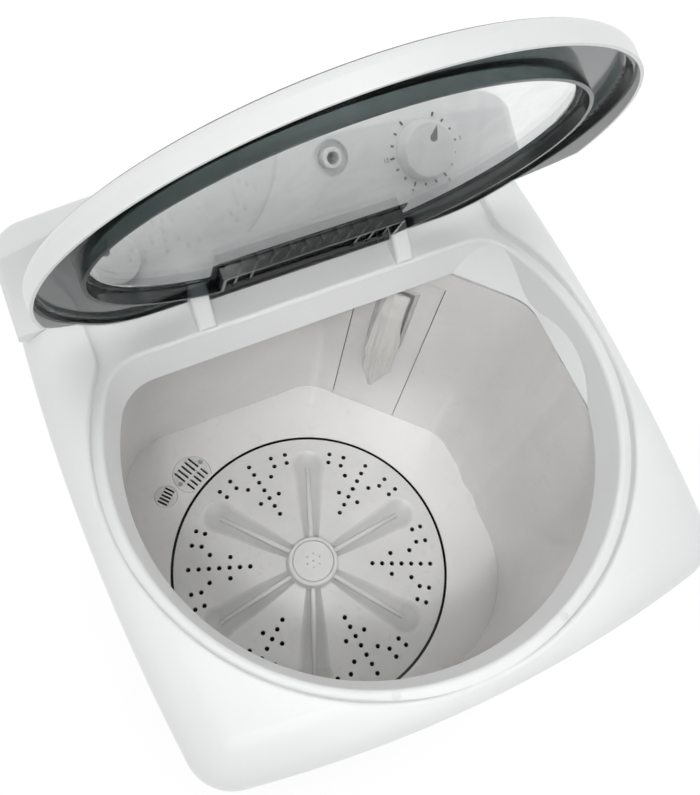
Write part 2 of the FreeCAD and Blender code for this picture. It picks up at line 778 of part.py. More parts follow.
def control_console():
    shell = console_form(0.0, SEAT_Z)
    rounded = []
    for edge in shell.Edges:
        span = edge.BoundBox
        raking = span.ZLength > CONSOLE_TOP / 3 and span.YLength > CONSOLE_TOP / 3
        if span.ZMin > SEAT_Z + CONSOLE_END_TOP * 0.9 or (raking and span.XLength < CONSOLE_LIP):
            rounded.append(edge)
    shell = shell.makeFillet(CONSOLE_EDGE_R, rounded)
    scoop_y = CONSOLE_Y + SCOOP_RISE - SCOOP_R
    scoop = rod(SCOOP_R, at(0, 0, -SCOOP_DEPTH), BIG)
    scoop = on_slope(scoop, 0.0, scoop_y)
    keep = block(-WIDTH, WIDTH, CONSOLE_Y - 1, DEPTH, SEAT_Z + CONSOLE_LIP / 2, RIM_Z * 2)
    shell = shell.cut(scoop.common(keep))
    hollow = console_form(CONSOLE_WALL, SEAT_Z - 1)
    backing = rod(SCOOP_R + CONSOLE_WALL, at(0, 0, -SCOOP_DEPTH - CONSOLE_WALL), BIG)
    hollow = hollow.cut(on_slope(backing, 0.0, scoop_y))
    cup_r = INLET_RECESS_R + CONSOLE_WALL
    cup = on_slope(rod(cup_r, at(0, 0, -INLET_RECESS_DEPTH - CONSOLE_WALL), BIG), INLET_X, INLET_Y)
    shell = shell.cut(hollow.cut(cup))
    shell = shell.cut(on_slope(rod(INLET_RECESS_R, at(0, 0, -INLET_RECESS_DEPTH), BIG), INLET_X, INLET_Y))
    spigot_hole = rod(INLET_R + SEAM, at(0, 0, -INLET_RECESS_DEPTH - CONSOLE_WALL - 1), INLET_RECESS_DEPTH)
    shell = shell.cut(on_slope(spigot_hole, INLET_X, INLET_Y))
    spindle_hole = rod(SPINDLE_R + FREE_GAP, at(0, 0, -CONSOLE_WALL * 2), CONSOLE_WALL * 3)
    shell = shell.cut(on_slope(spindle_hole, TIMER_X, TIMER_Y))
    shell = shell.cut(on_slope(spindle_hole, DRAIN_KNOB_X, DRAIN_KNOB_Y))
    for x in (-TIMER_SCREW_X, TIMER_SCREW_X):
        pilot = rod(TIMER_SCREW_R, at(x, 0, -CONSOLE_WALL), CONSOLE_WALL * 0.7)
        shell = shell.cut(on_slope(pilot, TIMER_X, TIMER_Y))
    return shell


def hinge_arm(side):
    """White lug on the ledge; its inner flank holds the lid's pin."""
    crown = HINGE_Z + ARM_CROWN
    front = HINGE_Y - ARM_FRONT
    back = HINGE_Y + ARM_BACK
    x0 = side * ARM_X - ARM_WIDTH / 2
    front_foot = at(x0, front, SEAT_Z)
    back_foot = at(x0, back, SEAT_Z)
    back_top = at(x0, back, HINGE_Z)
    top = at(x0, HINGE_Y, crown)
    toe = at(x0, front, SEAT_Z + HINGE_PIN_R)
    shoulder = at(x0, HINGE_Y + ARM_BACK * math.sqrt(0.5), HINGE_Z + ARM_CROWN * math.sqrt(0.5))
    belly = at(x0, (HINGE_Y + front) / 2, (crown + SEAT_Z) / 2 + HINGE_PIN_R)
    edges = [
        Part.LineSegment(front_foot, back_foot).toShape(),
        Part.LineSegment(back_foot, back_top).toShape(),
        Part.Arc(back_top, shoulder, top).toShape(),
        Part.Arc(top, belly, toe).toShape(),
        Part.LineSegment(toe, front_foot).toShape(),
    ]
    arm = Part.Face(Part.Wire(edges)).extrude(RIGHT * ARM_WIDTH)
    brow = [e for e in arm.Edges if e.BoundBox.XLength < 0.01 and e.BoundBox.ZMax > crown - 0.01]
    arm = arm.makeFillet(ARM_EDGE_R, brow)
    flank = at(side * (ARM_X - ARM_WIDTH / 2), HINGE_Y, HINGE_Z)
    return arm.cut(rod(HINGE_PIN_R + RUN_FIT, flank, HINGE_PIN_DEPTH + FREE_GAP, RIGHT * side))


def opened(shape):
    turned = shape.copy()
    turned.rotate(at(0, HINGE_Y, HINGE_Z), RIGHT, -LID_OPEN)
    return turned


def window_prism(grow, z0, z1):
    """Oval window, cut straight where the hinge tongue reaches into it, drawn outwards."""
    oval = Part.Ellipse(at(0, WINDOW_Y, z0), WINDOW_HALF_WIDTH + grow, WINDOW_HALF_DEPTH + grow)
    prism = Part.Face(Part.Wire([oval.toShape()])).extrude(UP * (z1 - z0))
    half = TONGUE_HALF - grow
    return prism.cut(block(-half, half, TONGUE_Y + grow, BIG, z0, z1))


def lid_plan(inset, z0, z1):
    """Prism of the lid's plan, drawn in by an inset."""
    return half_moon_prism(LID_R - inset, HINGE_Y + LID_TAIL - inset, LID_CORNER_R - inset, z0, z1)


def lid_form():
    """Outside of the lid: a half-moon slab with a rounded top edge."""
    slab = lid_plan(0.0, LID_LOW_Z, LID_TOP_Z)
    rounded = []
    for edge in slab.Edges:
        if edge.BoundBox.ZMin > LID_TOP_Z - 0.01 and edge.BoundBox.YMin < HINGE_Y:
            rounded.append(edge)
    return slab.makeFillet(LID_EDGE_R, rounded)


def skirt_trim(front_y, front_z):
    """Space under the skirt's lower edge, which rises from the front to the shallow rear."""
    low = LID_LOW_Z - LID_HEIGHT
    rear_z = LID_TOP_Z - SKIRT_REAR
    corners = [(-BIG, low), (-BIG, front_z), (front_y, front_z), (HINGE_Y - SKIRT_RAMP_END, rear_z),
               (BIG, rear_z), (BIG, low)]
    outline = [at(-BIG, y, z) for y, z in corners + corners[:1]]
    return Part.Face(Part.makePolygon(outline)).extrude(RIGHT * 2 * BIG)


def notch_front():
    """How far in front of the hinge the lid is cut away round the arms."""
    return HINGE_Y - math.hypot(ARM_FRONT, HINGE_RISE) - NOTCH_GAP


def lid_rim():
    """White band round the lid, open at the back between the hinge arms."""
    band = lid_form().cut(lid_plan(LID_RIM_T, LID_LOW_Z - 1, LID_TOP_Z + 1))
    band = band.cut(skirt_trim(HINGE_Y - SKIRT_RAMP_END - SKIRT_RAMP, LID_LOW_Z))
    half = ARM_X + ARM_WIDTH / 2 + FREE_GAP
    return opened(band.cut(block(-half, half, notch_front(), BIG, LID_LOW_Z - 1, LID_TOP_Z + 1)))


def tongue_ribs():
    """Short ribs under the hinge tongue; those in the middle stop well clear of the hinge."""
    top = LID_TOP_Z - LID_WALL
    start = TONGUE_Y + WINDOW_LAP + RIB_T
    ribs = []
    for i in range(TONGUE_RIBS):
        x = (i - (TONGUE_RIBS - 1) / 2) * TONGUE_RIB_PITCH
        end = HINGE_Y - (TONGUE_PLAIN if abs(x) < TONGUE_PLAIN else HINGE_BARREL_R)
        half = TONGUE_RIB_T / 2
        ribs.append(block(x - half, x + half, start, end, top - TONGUE_RIB_H, top))
    return ribs


def lid_frame():
    """Smoked pan inside the rim, with the window's rib, the hinge tongue and its barrel."""
    under = LID_TOP_Z - LID_WALL
    pan = lid_form().common(lid_plan(LID_RIM_T + SEAM / 2, LID_LOW_Z - 1, LID_TOP_Z + 1))
    wall = LID_RIM_T + LID_WALL
    core = lid_plan(wall, LID_LOW_Z - 1, under)
    core = core.makeFillet(LID_EDGE_R - wall, [e for e in core.Edges if e.BoundBox.ZMin > under - 0.01])
    pan = pan.cut(core).cut(skirt_trim(LID_FRONT_Y, LID_LOW_Z + LID_LIFT))
    rib_in = WINDOW_LAP + SEAM
    rib_low = under - RIB_HEIGHT
    rib = window_prism(rib_in + RIB_T, rib_low, under).cut(window_prism(rib_in, rib_low, under))
    barrel = rod(HINGE_BARREL_R, at(-TONGUE_HALF, HINGE_Y, HINGE_Z), TONGUE_HALF * 2, RIGHT)
    web_y = HINGE_Y - ARM_FRONT - NOTCH_GAP
    web = block(-TONGUE_HALF, TONGUE_HALF, web_y, HINGE_Y, HINGE_Z, under + LID_WALL / 2)
    pan = joined(pan, rib, barrel, web, *tongue_ribs())
    pan = pan.cut(window_prism(SEAM, rib_low - 1, LID_TOP_Z + 1))
    for side in (-1, 1):
        x_mid = side * ARM_X
        half = ARM_WIDTH / 2 + FREE_GAP
        pan = pan.cut(block(x_mid - half, x_mid + half, notch_front(), BIG, LID_LOW_Z - 1, LID_TOP_Z + 1))
        foot = at(side * TONGUE_HALF, HINGE_Y, HINGE_Z)
        pan = pan.cut(rod(HINGE_PIN_R, foot, HINGE_PIN_DEPTH, RIGHT * -side))
    return opened(pan)


def lid_window():
    under = LID_TOP_Z - LID_WALL
    plate = window_prism(0.0, under, LID_TOP_Z)
    lap = window_prism(WINDOW_LAP, under - WINDOW_T, under)
    return opened(joined(plate, lap))


def lid_hinge_pins():
    pins = []
    for side in (-1, 1):
        foot = at(side * (TONGUE_HALF - HINGE_PIN_DEPTH), HINGE_Y, HINGE_Z)
        pins.append(rod(HINGE_PIN_R, foot, HINGE_PIN_DEPTH * 2 + FREE_GAP / 2, RIGHT * side))
    return opened(group(pins))


def wash_tub():
    body = tub_form(TUB_WALL, FLOOR_Z - TUB_FLOOR_T, FLANGE_Z)
    flange = footprint(CABINET_INSET, FLANGE_Z - FLANGE_T, FLANGE_Z)
    well = rod(WELL_R + TUB_WALL, AXIS + UP * TUB_UNDER_Z, FLOOR_Z - TUB_UNDER_Z)
    half = CHANNEL_WIDTH / 2
    top = FLANGE_Z - CHANNEL_TOP_GAP
    housing = block(CHANNEL_AT - half - TUB_WALL, CHANNEL_AT + half + TUB_WALL, 0, CHANNEL_DEPTH + TUB_WALL,
                    FLOOR_Z - TUB_FLOOR_T, top + TUB_WALL)
    body = joined(body, flange, well, on_diagonal(housing))
    channel = block(CHANNEL_AT - half, CHANNEL_AT + half, -TUB_WALL, CHANNEL_DEPTH, FLOOR_Z, top)
    body = body.cut(tub_form(0.0, FLOOR_Z, FLANGE_Z + 1)).cut(on_diagonal(channel))
    body = body.cut(rod(WELL_R, AXIS + UP * WELL_Z, PULSATOR_WELL + 1))
    body = body.cut(rod(HOUSING_NECK_R + SEAM, AXIS + UP * (TUB_UNDER_Z - 1), TUB_FLOOR_T + 2))
    cuts = [grille_plan(GRILLE_R + SEAM, 0.0).extrude(UP * GRILLE_T)]
    cuts[0].translate(at(0, 0, FLOOR_Z - GRILLE_T))
    cuts.append(sump_plan(0.0, FLOOR_Z - TUB_FLOOR_T - 1, FLOOR_Z))
    cuts.append(rod(BLEED_R + SEAM, at(BLEED_X, BLEED_Y, FLOOR_Z - GRILLE_T), GRILLE_T + 1))
    cuts.append(rod(BLEED_R - SUMP_WALL, at(BLEED_X, BLEED_Y, FLOOR_Z - TUB_FLOOR_T - 1), TUB_FLOOR_T + 1))
    for x, y in ring_places(4, HOUSING_BOLT_PCD / 2, 45):
        cuts.append(rod(HOUSING_BOLT_R, AXIS + at(x, y, TUB_UNDER_Z), TUB_FLOOR_T - 2))
    for x, y in grille_screw_places():
        cuts.append(rod(GRILLE_SCREW_R, at(x, y, FLOOR_Z - TUB_FLOOR_T + 1), TUB_FLOOR_T))
    for x, y in boss_places():
        cuts.append(rod(DECK_SCREW_R + SCREW_FIT, at(x, y, FLANGE_Z - FLANGE_T - 1), FLANGE_T + 2))
    cuts.append(pull_slot(FLANGE_Z))
    return body.cut(group(cuts))


def grille_heading():
    """Angle of the line from the drain grille to the pulsator's axis."""
    return math.degrees(math.atan2(PULSATOR_Y - GRILLE_Y, PULSATOR_X - GRILLE_X))


def grille_plan(radius, z):
    """Round plate at the drain, cut back where it meets the pulsator's well."""
    disc = Part.Circle(at(GRILLE_X, GRILLE_Y, z), UP, radius).toShape()
    well = Part.Circle(AXIS + UP * z, UP, WELL_R + SUMP_WALL).toShape()
    return Part.Face(Part.Wire([disc])).cut(Part.Face(Part.Wire([well]))).Faces[0]


def sump_plan(grow, z0, z1):
    heading = math.radians(grille_heading())
    x = GRILLE_X - SUMP_SHIFT * math.cos(heading)
    y = GRILLE_Y - SUMP_SHIFT * math.sin(heading)
    return rod(SUMP_R + grow, at(x, y, z0), z1 - z0)


def grille_screw_places():
    heading = math.radians(grille_heading() + 90)
    dx, dy = GRILLE_SCREW_AT * math.cos(heading), GRILLE_SCREW_AT * math.sin(heading)
    back = math.radians(grille_heading())
    bx, by = SLOT_W * math.cos(back), SLOT_W * math.sin(back)
    return [(GRILLE_X + s * dx - bx, GRILLE_Y + s * dy - by) for s in (-1, 1)]


def slots(rows, count, pitch, depth):
    """Dark slots side by side, in rows along the local x axis."""
    cut = []
    for centre, length in rows:
        for i in range(count):
            y = (i - (count - 1) / 2) * pitch
            x0, x1 = centre - length / 2, centre + length / 2
            cut.append(block(x0, x1, y - SLOT_W / 2, y + SLOT_W / 2, -depth, depth))
    return group(cut)


def drain_grille():
    plate = grille_plan(GRILLE_R, 0.0).extrude(DOWN * GRILLE_T)
    pattern = slots(SLOT_ROWS, GRILLE_SLOTS, SLOT_PITCH, GRILLE_T * 2)
    pattern.rotate(at(0, 0, 0), UP, grille_heading())
    pattern.translate(at(GRILLE_X, GRILLE_Y, 0))
    plate = plate.cut(pattern)
    for x, y in grille_screw_places():
        plate = plate.cut(rod(GRILLE_SCREW_R + SCREW_FIT, at(x, y, -GRILLE_T * 2), GRILLE_T * 3))
    plate.translate(at(0, 0, FLOOR_Z))
    return plate


def drain_grille_screws():
    screws = []
    for x, y in grille_screw_places():
        head = rod(GRILLE_SCREW_R * BOLT_HEAD, at(x, y, FLOOR_Z), GRILLE_SCREW_R * 0.7)
        shank = rod(GRILLE_SCREW_R, at(x, y, FLOOR_Z - TUB_FLOOR_T + 1), TUB_FLOOR_T - 1)
        screws.append(joined(head, shank))
    return group(screws)


def bleed_grille():
    plate = rod(BLEED_R, at(0, 0, -GRILLE_T), GRILLE_T)
    pattern = slots(((0.0, BLEED_SLOT_L),), GRILLE_SLOTS, BLEED_PITCH, GRILLE_T * 2)
    heading = math.degrees(math.atan2(PULSATOR_Y - BLEED_Y, PULSATOR_X - BLEED_X))
    pattern.rotate(at(0, 0, 0), UP, heading)
    plate = plate.cut(pattern)
    plate.translate(at(BLEED_X, BLEED_Y, FLOOR_Z))
    return plate


def cover_span():
    return FLOOR_Z + COVER_GAP / 2, FLANGE_Z - CHANNEL_TOP_GAP - COVER_GAP / 2


def filter_channel_cover():
    z0, z1 = cover_span()
    half = CHANNEL_WIDTH / 2 - COVER_GAP
    plate = block(CHANNEL_AT - half, CHANNEL_AT + half, 0, COVER_T, z0, z1)
    ribs = []
    for side in (-1, 1):
        x = CHANNEL_AT + side * (half - COVER_RIB_T)
        ribs.append(block(x - COVER_RIB_T, x + COVER_RIB_T, COVER_T, CHANNEL_DEPTH, z0, z1))
    plate = joined(plate, *ribs)
    mid = CHANNEL_AT
    window = block(mid - FILTER_WIDTH / 2, mid + FILTER_WIDTH / 2, -1, COVER_T + 1,
                   FLOOR_Z + FILTER_BOTTOM, FLOOR_Z + FILTER_BOTTOM + FILTER_HEIGHT)
    return on_diagonal(plate.cut(window))


def lint_filter_frame():
    half = FILTER_WIDTH / 2 - SEAM
    z0 = FLOOR_Z + FILTER_BOTTOM + SEAM
    z1 = FLOOR_Z + FILTER_BOTTOM + FILTER_HEIGHT - SEAM
    y0, y1 = -FILTER_PROUD, FILTER_T - FILTER_PROUD
    frame = block(CHANNEL_AT - half, CHANNEL_AT + half, y0, y1, z0, z1)
    hole = half - FILTER_BORDER
    frame = frame.cut(block(CHANNEL_AT - hole, CHANNEL_AT + hole, y0 - 1, y1 + 1,
                            z0 + FILTER_BORDER, z1 - FILTER_BORDER))
    return on_diagonal(frame)


def lint_filter_bag():
    """Slack net bag: narrow at the frame, full in the middle, gathered at its foot."""
    top = FLOOR_Z + FILTER_BOTTOM + FILTER_HEIGHT - FILTER_BORDER * 2
    bottom = FLOOR_Z + FILTER_BOTTOM - BAG_DROP
    width = FILTER_WIDTH / 2 - FILTER_BORDER
    stations = ((0.0, 0.35, 0.30), (0.25, 0.95, 0.85), (0.55, 1.0, 1.0), (0.85, 0.85, 0.6), (1.0, 0.7, 0.25))
    wires = []
    for share, wide, deep in stations:
        z = bottom + (top - bottom) * share
        back = -FILTER_PROUD - SEAM
        centre = at(CHANNEL_AT, back - BAG_BULGE * deep / 2, z)
        ellipse = Part.Ellipse(centre, width * wide, BAG_BULGE * deep / 2)
        if width * wide < BAG_BULGE * deep / 2:
            ellipse = Part.Ellipse(centre, BAG_BULGE * deep / 2, width * wide)
        wires.append(Part.Wire([ellipse.toShape()]))
    return on_diagonal(Part.makeLoft(wires, True, False))


def pulsator_top(radius):
    share = (radius - HUB_R) / (PULSATOR_R - HUB_R)
    return FLOOR_Z + PULSATOR_CONE * (1 - share)


def hub_top():
    return pulsator_top(HUB_R) + HUB_RISE


def pulsator():
    under = PULSATOR_T
    rim = PULSATOR_R
    hub_z = hub_top()
    hub_foot = pulsator_top(HUB_R)
    seat_z = hub_z - CAP_T
    boss_z = WELL_Z + PULSATOR_WELL / 2 + FREE_GAP
    points = [
        (SHAFT_R, boss_z), (PULSATOR_BOSS_R, boss_z), (PULSATOR_BOSS_R, hub_foot - under),
        (HUB_R, hub_foot - under), (rim, FLOOR_Z - under), (rim, FLOOR_Z), (HUB_R, hub_foot),
        (HUB_R - 2 * SEAM, hub_z), (CAP_R + SEAM, hub_z), (CAP_R + SEAM, seat_z), (SHAFT_R, seat_z),
    ]
    profile = Part.makePolygon([at(r, 0, z) for r, z in points + points[:1]])
    disc = turned_about_axis(Part.Face(profile), RIB_TURN + SEAM_TURN).revolve(at(0, 0, 0), UP, FULL_TURN)
    shoulder = []
    for edge in disc.Edges:
        span = edge.BoundBox
        brow = abs(span.ZMax - hub_z) < 0.01 and span.ZLength < 0.01 and span.XLength > 2 * (CAP_R + 1)
        foot = abs(span.ZMax - hub_foot) < 0.01 and span.ZLength < 0.01
        if brow or foot:
            shoulder.append(edge)
    disc = disc.makeFillet(HUB_EDGE_R, shoulder)
    for i in range(PETALS):
        turn = RIB_TURN + FULL_TURN * i / PETALS
        disc = disc.cut(turned_about_axis(petal_trough(), turn))
        disc = disc.fuse(turned_about_axis(petal_rib(), turn))
    jets = []
    for i in range(PETALS):
        turn = RIB_TURN + FULL_TURN * (i + 0.5) / PETALS
        for radius, offset in jet_places():
            jet = rod(JET_R, at(radius, offset, FLOOR_Z - 2 * PULSATOR_T), PULSATOR_CONE + 4 * PULSATOR_T)
            jets.append(turned_about_axis(jet, turn))
    disc = disc.cut(jets)
    disc.translate(AXIS)
    return disc.Solids[0]


def turned_about_axis(shape, turn):
    turned = shape.copy()
    turned.rotate(at(0, 0, 0), UP, turn)
    return turned


def petal_trough():
    """Fan-shaped hollow that widens from the hub outwards and ends in a round."""
    start = HUB_R + HUB_EDGE_R
    fall = math.degrees(math.atan2(PULSATOR_CONE, PULSATOR_R - HUB_R))
    length = PETAL_END - start
    lean = math.degrees(math.atan2(PETAL_OUTER - PETAL_INNER, length))
    fan = Part.makeCone(PETAL_INNER, PETAL_OUTER, length, at(0, 0, 0), RIGHT)
    tip = Part.makeSphere(PETAL_OUTER, at(length, 0, 0))
    head = Part.makeSphere(PETAL_INNER, at(0, 0, 0))
    trough = joined(fan, tip, head)
    trough.rotate(at(0, 0, 0), BACKWARDS, fall - lean)
    trough.translate(at(start, 0, pulsator_top(start) + PETAL_INNER - PETAL_DEPTH))
    return trough.cut(rod(HUB_R + SEAM, at(0, 0, FLOOR_Z), BIG))


def petal_rib():
    """Slim raised rib down the middle of a trough."""
    start = HUB_R - HUB_EDGE_R
    end = PETAL_RIB_END
    half = PETAL_RIB_W / 2
    low0 = pulsator_top(HUB_R) - PULSATOR_T * PETAL_RIB_ROOT
    low1 = pulsator_top(end) - PULSATOR_T * PETAL_RIB_ROOT
    high0 = pulsator_top(HUB_R) + HUB_EDGE_R
    high1 = pulsator_top(end) - PETAL_DEPTH * PETAL_RIB_FALL
    corners = [at(start, -half, low0), at(end, -half, low1), at(end, -half, high1), at(start, -half, high0)]
    rib = Part.Face(Part.makePolygon(corners + corners[:1])).extrude(BACKWARDS * PETAL_RIB_W)
    tops = [e for e in rib.Edges if e.Length > (end - start) * 0.9 and e.BoundBox.ZMax > high0 - 0.01]
    return rib.makeFillet(half * 0.8, tops)


def jet_places():
    share = PULSATOR_R / JET_PATTERN_R
    places = [(share * (JET_FIRST + JET_PITCH * i), 0.0) for i in range(JET_ROW)]
    for radius, offset in JET_SIDES:
        places.append((share * radius, share * offset))
        places.append((share * radius, -share * offset))
    return places


def pulsator_cap():
    foot = hub_top() - CAP_T
    cap = rod(CAP_R, AXIS + UP * foot, CAP_T + CAP_PROUD)
    cap = cap.makeFillet(CAP_EDGE_R, [e for e in cap.Edges if e.BoundBox.ZMin > foot + CAP_T])
    holes = [rod(CAP_HOLE_R, AXIS + UP * (foot + CAP_T / 2), CAP_T)]
    for x, y in ring_places(PETALS, CAP_HOLE_PCD / 2, RIB_TURN):
        holes.append(rod(CAP_HOLE_R, AXIS + at(x, y, foot + CAP_T / 2), CAP_T))
    pocket = rod(PULSATOR_SCREW_R * 2 + SEAM, AXIS + UP * foot, CAP_T / 2)
    return cap.cut(group(holes)).cut(pocket)


def pulsator_screw():
    head_z = hub_top() - CAP_T
    head = rod(PULSATOR_SCREW_R * 2, AXIS + UP * head_z, CAP_T / 2 - SEAM)
    shank = rod(PULSATOR_SCREW_R, AXIS + UP * (head_z - PULSATOR_SCREW_L), PULSATOR_SCREW_L)
    return joined(head, shank)


def pulsator_shaft():
    low = BELT_Z - BELT_WIDTH / 2 - PULLEY_FLANGE - PULLEY_NUT_H - SHAFT_END
    high = hub_top() - CAP_T
    shaft = rod(SHAFT_R, AXIS + UP * low, high - low)
    return shaft.cut(rod(PULSATOR_SCREW_R, AXIS + UP * (high - PULSATOR_SCREW_L), PULSATOR_SCREW_L))


def bearing_housing():
    top = TUB_UNDER_Z
    bottom = top - HOUSING_DROP
    neck_top = WELL_Z + PULSATOR_WELL / 2
    flange = rod(HOUSING_FLANGE_R, AXIS + UP * (top - HOUSING_FLANGE_T), HOUSING_FLANGE_T)
    body = rod(HOUSING_R, AXIS + UP * bottom, HOUSING_DROP)
    neck = rod(HOUSING_NECK_R, AXIS + UP * top, neck_top - top)
    ribs = []
    for x, y in ring_places(4, 1.0):
        half = HOUSING_RIB_T / 2
        rib = block(0, HOUSING_FLANGE_R - HOUSING_RIB_T, -half, half,
                    top - HOUSING_DROP * HOUSING_RIB_SHARE, top - HOUSING_FLANGE_T)
        rib.rotate(at(0, 0, 0), UP, math.degrees(math.atan2(y, x)))
        rib.translate(AXIS)
        ribs.append(rib)
    housing = joined(flange, body, neck, *ribs)
    housing = housing.cut(rod(BUSH_R, AXIS + UP * (bottom - 1), neck_top - bottom + 2))
    for x, y in ring_places(4, HOUSING_BOLT_PCD / 2, 45):
        foot = AXIS + at(x, y, top - HOUSING_FLANGE_T - 1)
        housing = housing.cut(rod(HOUSING_BOLT_R + SCREW_FIT, foot, HOUSING_FLANGE_T + 2))
    return housing


def shaft_bushes():
    """Plain bushes at the top and the foot of the bearing housing."""
    upper = WELL_Z + PULSATOR_WELL / 2 - SEAL_T - BUSH_L
    lower = TUB_UNDER_Z - HOUSING_DROP
    return group([tube(BUSH_R, SHAFT_R + RUN_FIT, AXIS + UP * foot, BUSH_L) for foot in (upper, lower)])


def shaft_seal():
    neck_top = WELL_Z + PULSATOR_WELL / 2
    return tube(BUSH_R, SHAFT_R + RUN_FIT, AXIS + UP * (neck_top - SEAL_T), SEAL_T)


def housing_bolts():
    bolts = []
    head_z = TUB_UNDER_Z - HOUSING_FLANGE_T
    for x, y in ring_places(4, HOUSING_BOLT_PCD / 2, 45):
        head = rod(HOUSING_BOLT_R * BOLT_HEAD, AXIS + at(x, y, head_z - HOUSING_BOLT_R), HOUSING_BOLT_R)
        shank = rod(HOUSING_BOLT_R, AXIS + at(x, y, head_z), HOUSING_FLANGE_T + TUB_FLOOR_T - 2)
        bolts.append(joined(head, shank))
    return group(bolts)


def pulley(radius, centre, bore):
    """Grooved wheel; radius is to the bottom of the groove."""
    foot = centre + UP * (BELT_Z - BELT_WIDTH / 2 - PULLEY_FLANGE)
    height = BELT_WIDTH + 2 * PULLEY_FLANGE
    outer = radius + BELT_THICKNESS + PULLEY_LIP
    wheel = rod(outer, foot, height)
    groove_z = foot + UP * (PULLEY_FLANGE - BELT_CLEAR)
    groove = tube(outer + 1, radius, groove_z, BELT_WIDTH + 2 * BELT_CLEAR)
    wheel = wheel.cut(groove)
    if radius > 2 * PULLEY_HUB_R:
        dish = tube(radius - PULLEY_RIM, PULLEY_HUB_R, foot, (height - PULLEY_WEB) / 2)
        wheel = wheel.cut(dish)
        dish.translate(UP * (height + PULLEY_WEB) / 2)
        wheel = wheel.cut(dish)
        middle = (radius + PULLEY_HUB_R) / 2
        holes = [rod(PULLEY_HOLE_R, foot + at(x, y, 0), height) for x, y in ring_places(PULLEY_HOLES, middle)]
        wheel = wheel.cut(group(holes))
    return wheel.cut(rod(bore, foot - UP, height + 2))


def pulley_nut():
    foot = BELT_Z - BELT_WIDTH / 2 - PULLEY_FLANGE - PULLEY_NUT_H
    corners = [AXIS + at(x, y, foot) for x, y in ring_places(6, PULLEY_NUT_R)]
    nut = Part.Face(Part.makePolygon(corners + corners[:1])).extrude(UP * PULLEY_NUT_H)
    return nut.cut(rod(SHAFT_R, AXIS + UP * (foot - 1), PULLEY_NUT_H + 2))


def drive_belt():
    """Belt round both pulleys, just clear of the bottoms of their grooves."""
    def loop(extra):
        big = PULLEY_R + BELT_CLEAR + extra
        small = MOTOR_PULLEY_R + BELT_CLEAR + extra
        tilt = math.acos((big - small) / MOTOR_SPACING)
        z = BELT_Z - BELT_WIDTH / 2
        big_x, big_y = big * math.cos(tilt), big * math.sin(tilt)
        small_x, small_y = MOTOR_SPACING + small * math.cos(tilt), small * math.sin(tilt)
        far = at(MOTOR_SPACING + small, 0, z)
        edges = [
            Part.Arc(at(big_x, big_y, z), at(-big, 0, z), at(big_x, -big_y, z)).toShape(),
            Part.LineSegment(at(big_x, -big_y, z), at(small_x, -small_y, z)).toShape(),
            Part.Arc(at(small_x, -small_y, z), far, at(small_x, small_y, z)).toShape(),
            Part.LineSegment(at(small_x, small_y, z), at(big_x, big_y, z)).toShape(),
        ]
        return Part.Face(Part.Wire(edges)).extrude(UP * BELT_WIDTH)
    belt = loop(BELT_THICKNESS).cut(loop(0.0))
    belt.rotate(at(0, 0, 0), UP, MOTOR_BEARING)
    belt.translate(AXIS)
    return belt


def motor_centre(z):
    return at(MOTOR_X, MOTOR_Y, z)


def motor_body():
    foot = BRACKET_Z + BRACKET_T
    case = rod(MOTOR_R, motor_centre(foot), MOTOR_HEIGHT)
    case = case.makeFillet(MOTOR_EDGE_R, [e for e in case.Edges if e.BoundBox.ZMin > foot + MOTOR_HEIGHT - 1])
    hollow = MOTOR_HEIGHT - 2 * MOTOR_END_T
    case = case.cut(rod(ROTOR_R + ROTOR_GAP, motor_centre(foot + MOTOR_END_T), hollow))
    case = case.cut(rod(MOTOR_SHAFT_R + RUN_FIT, motor_centre(foot + MOTOR_END_T / 2), MOTOR_HEIGHT))
    for x, y in ring_places(4, MOTOR_BOLT_PCD / 2):
        case = case.cut(rod(MOTOR_BOLT_R, motor_centre(foot) + at(x, y, 0), MOTOR_END_T))
    return case


def motor_rotor():
    foot = BRACKET_Z + BRACKET_T
    top = BELT_Z + BELT_WIDTH / 2 + PULLEY_FLANGE + MOTOR_SHAFT_END
    low = foot + MOTOR_END_T / 2 + FREE_GAP
    shaft = rod(MOTOR_SHAFT_R, motor_centre(low), top - low)
    end = MOTOR_END_T + ROTOR_GAP
    core = rod(ROTOR_R, motor_centre(foot + end), MOTOR_HEIGHT - 2 * end)
    return joined(shaft, core)


def motor_bracket():
    half = BRACKET_SIZE / 2
    plate = block(-half, half, -half, half, 0, BRACKET_T)
    plate = plate.makeFillet(BRACKET_CORNER_R, upright_edges(plate, BRACKET_T))
    plate.translate(motor_centre(BRACKET_Z))
    for x, y in ring_places(4, MOTOR_BOLT_PCD / 2):
        foot = motor_centre(BRACKET_Z - 1) + at(x, y, 0)
        plate = plate.cut(rod(MOTOR_BOLT_R + SCREW_FIT, foot, BRACKET_T + 2))
    return plate


def post_places():
    half = POST_SPACING / 2
    return [(MOTOR_X + a * half, MOTOR_Y + b * half) for a in (-1, 1) for b in (-1, 1)]


def motor_grommets():
    return group([rod(GROMMET_R, at(x, y, BRACKET_Z - GROMMET_H), GROMMET_H) for x, y in post_places()])


def motor_bolts():
    bolts = []
    for x, y in ring_places(4, MOTOR_BOLT_PCD / 2):
        foot = motor_centre(BRACKET_Z) + at(x, y, 0)
        head = rod(MOTOR_BOLT_R * BOLT_HEAD, foot - UP * MOTOR_BOLT_R, MOTOR_BOLT_R)
        shank = rod(MOTOR_BOLT_R, foot, BRACKET_T + MOTOR_END_T)
        bolts.append(joined(head, shank))
    return group(bolts)


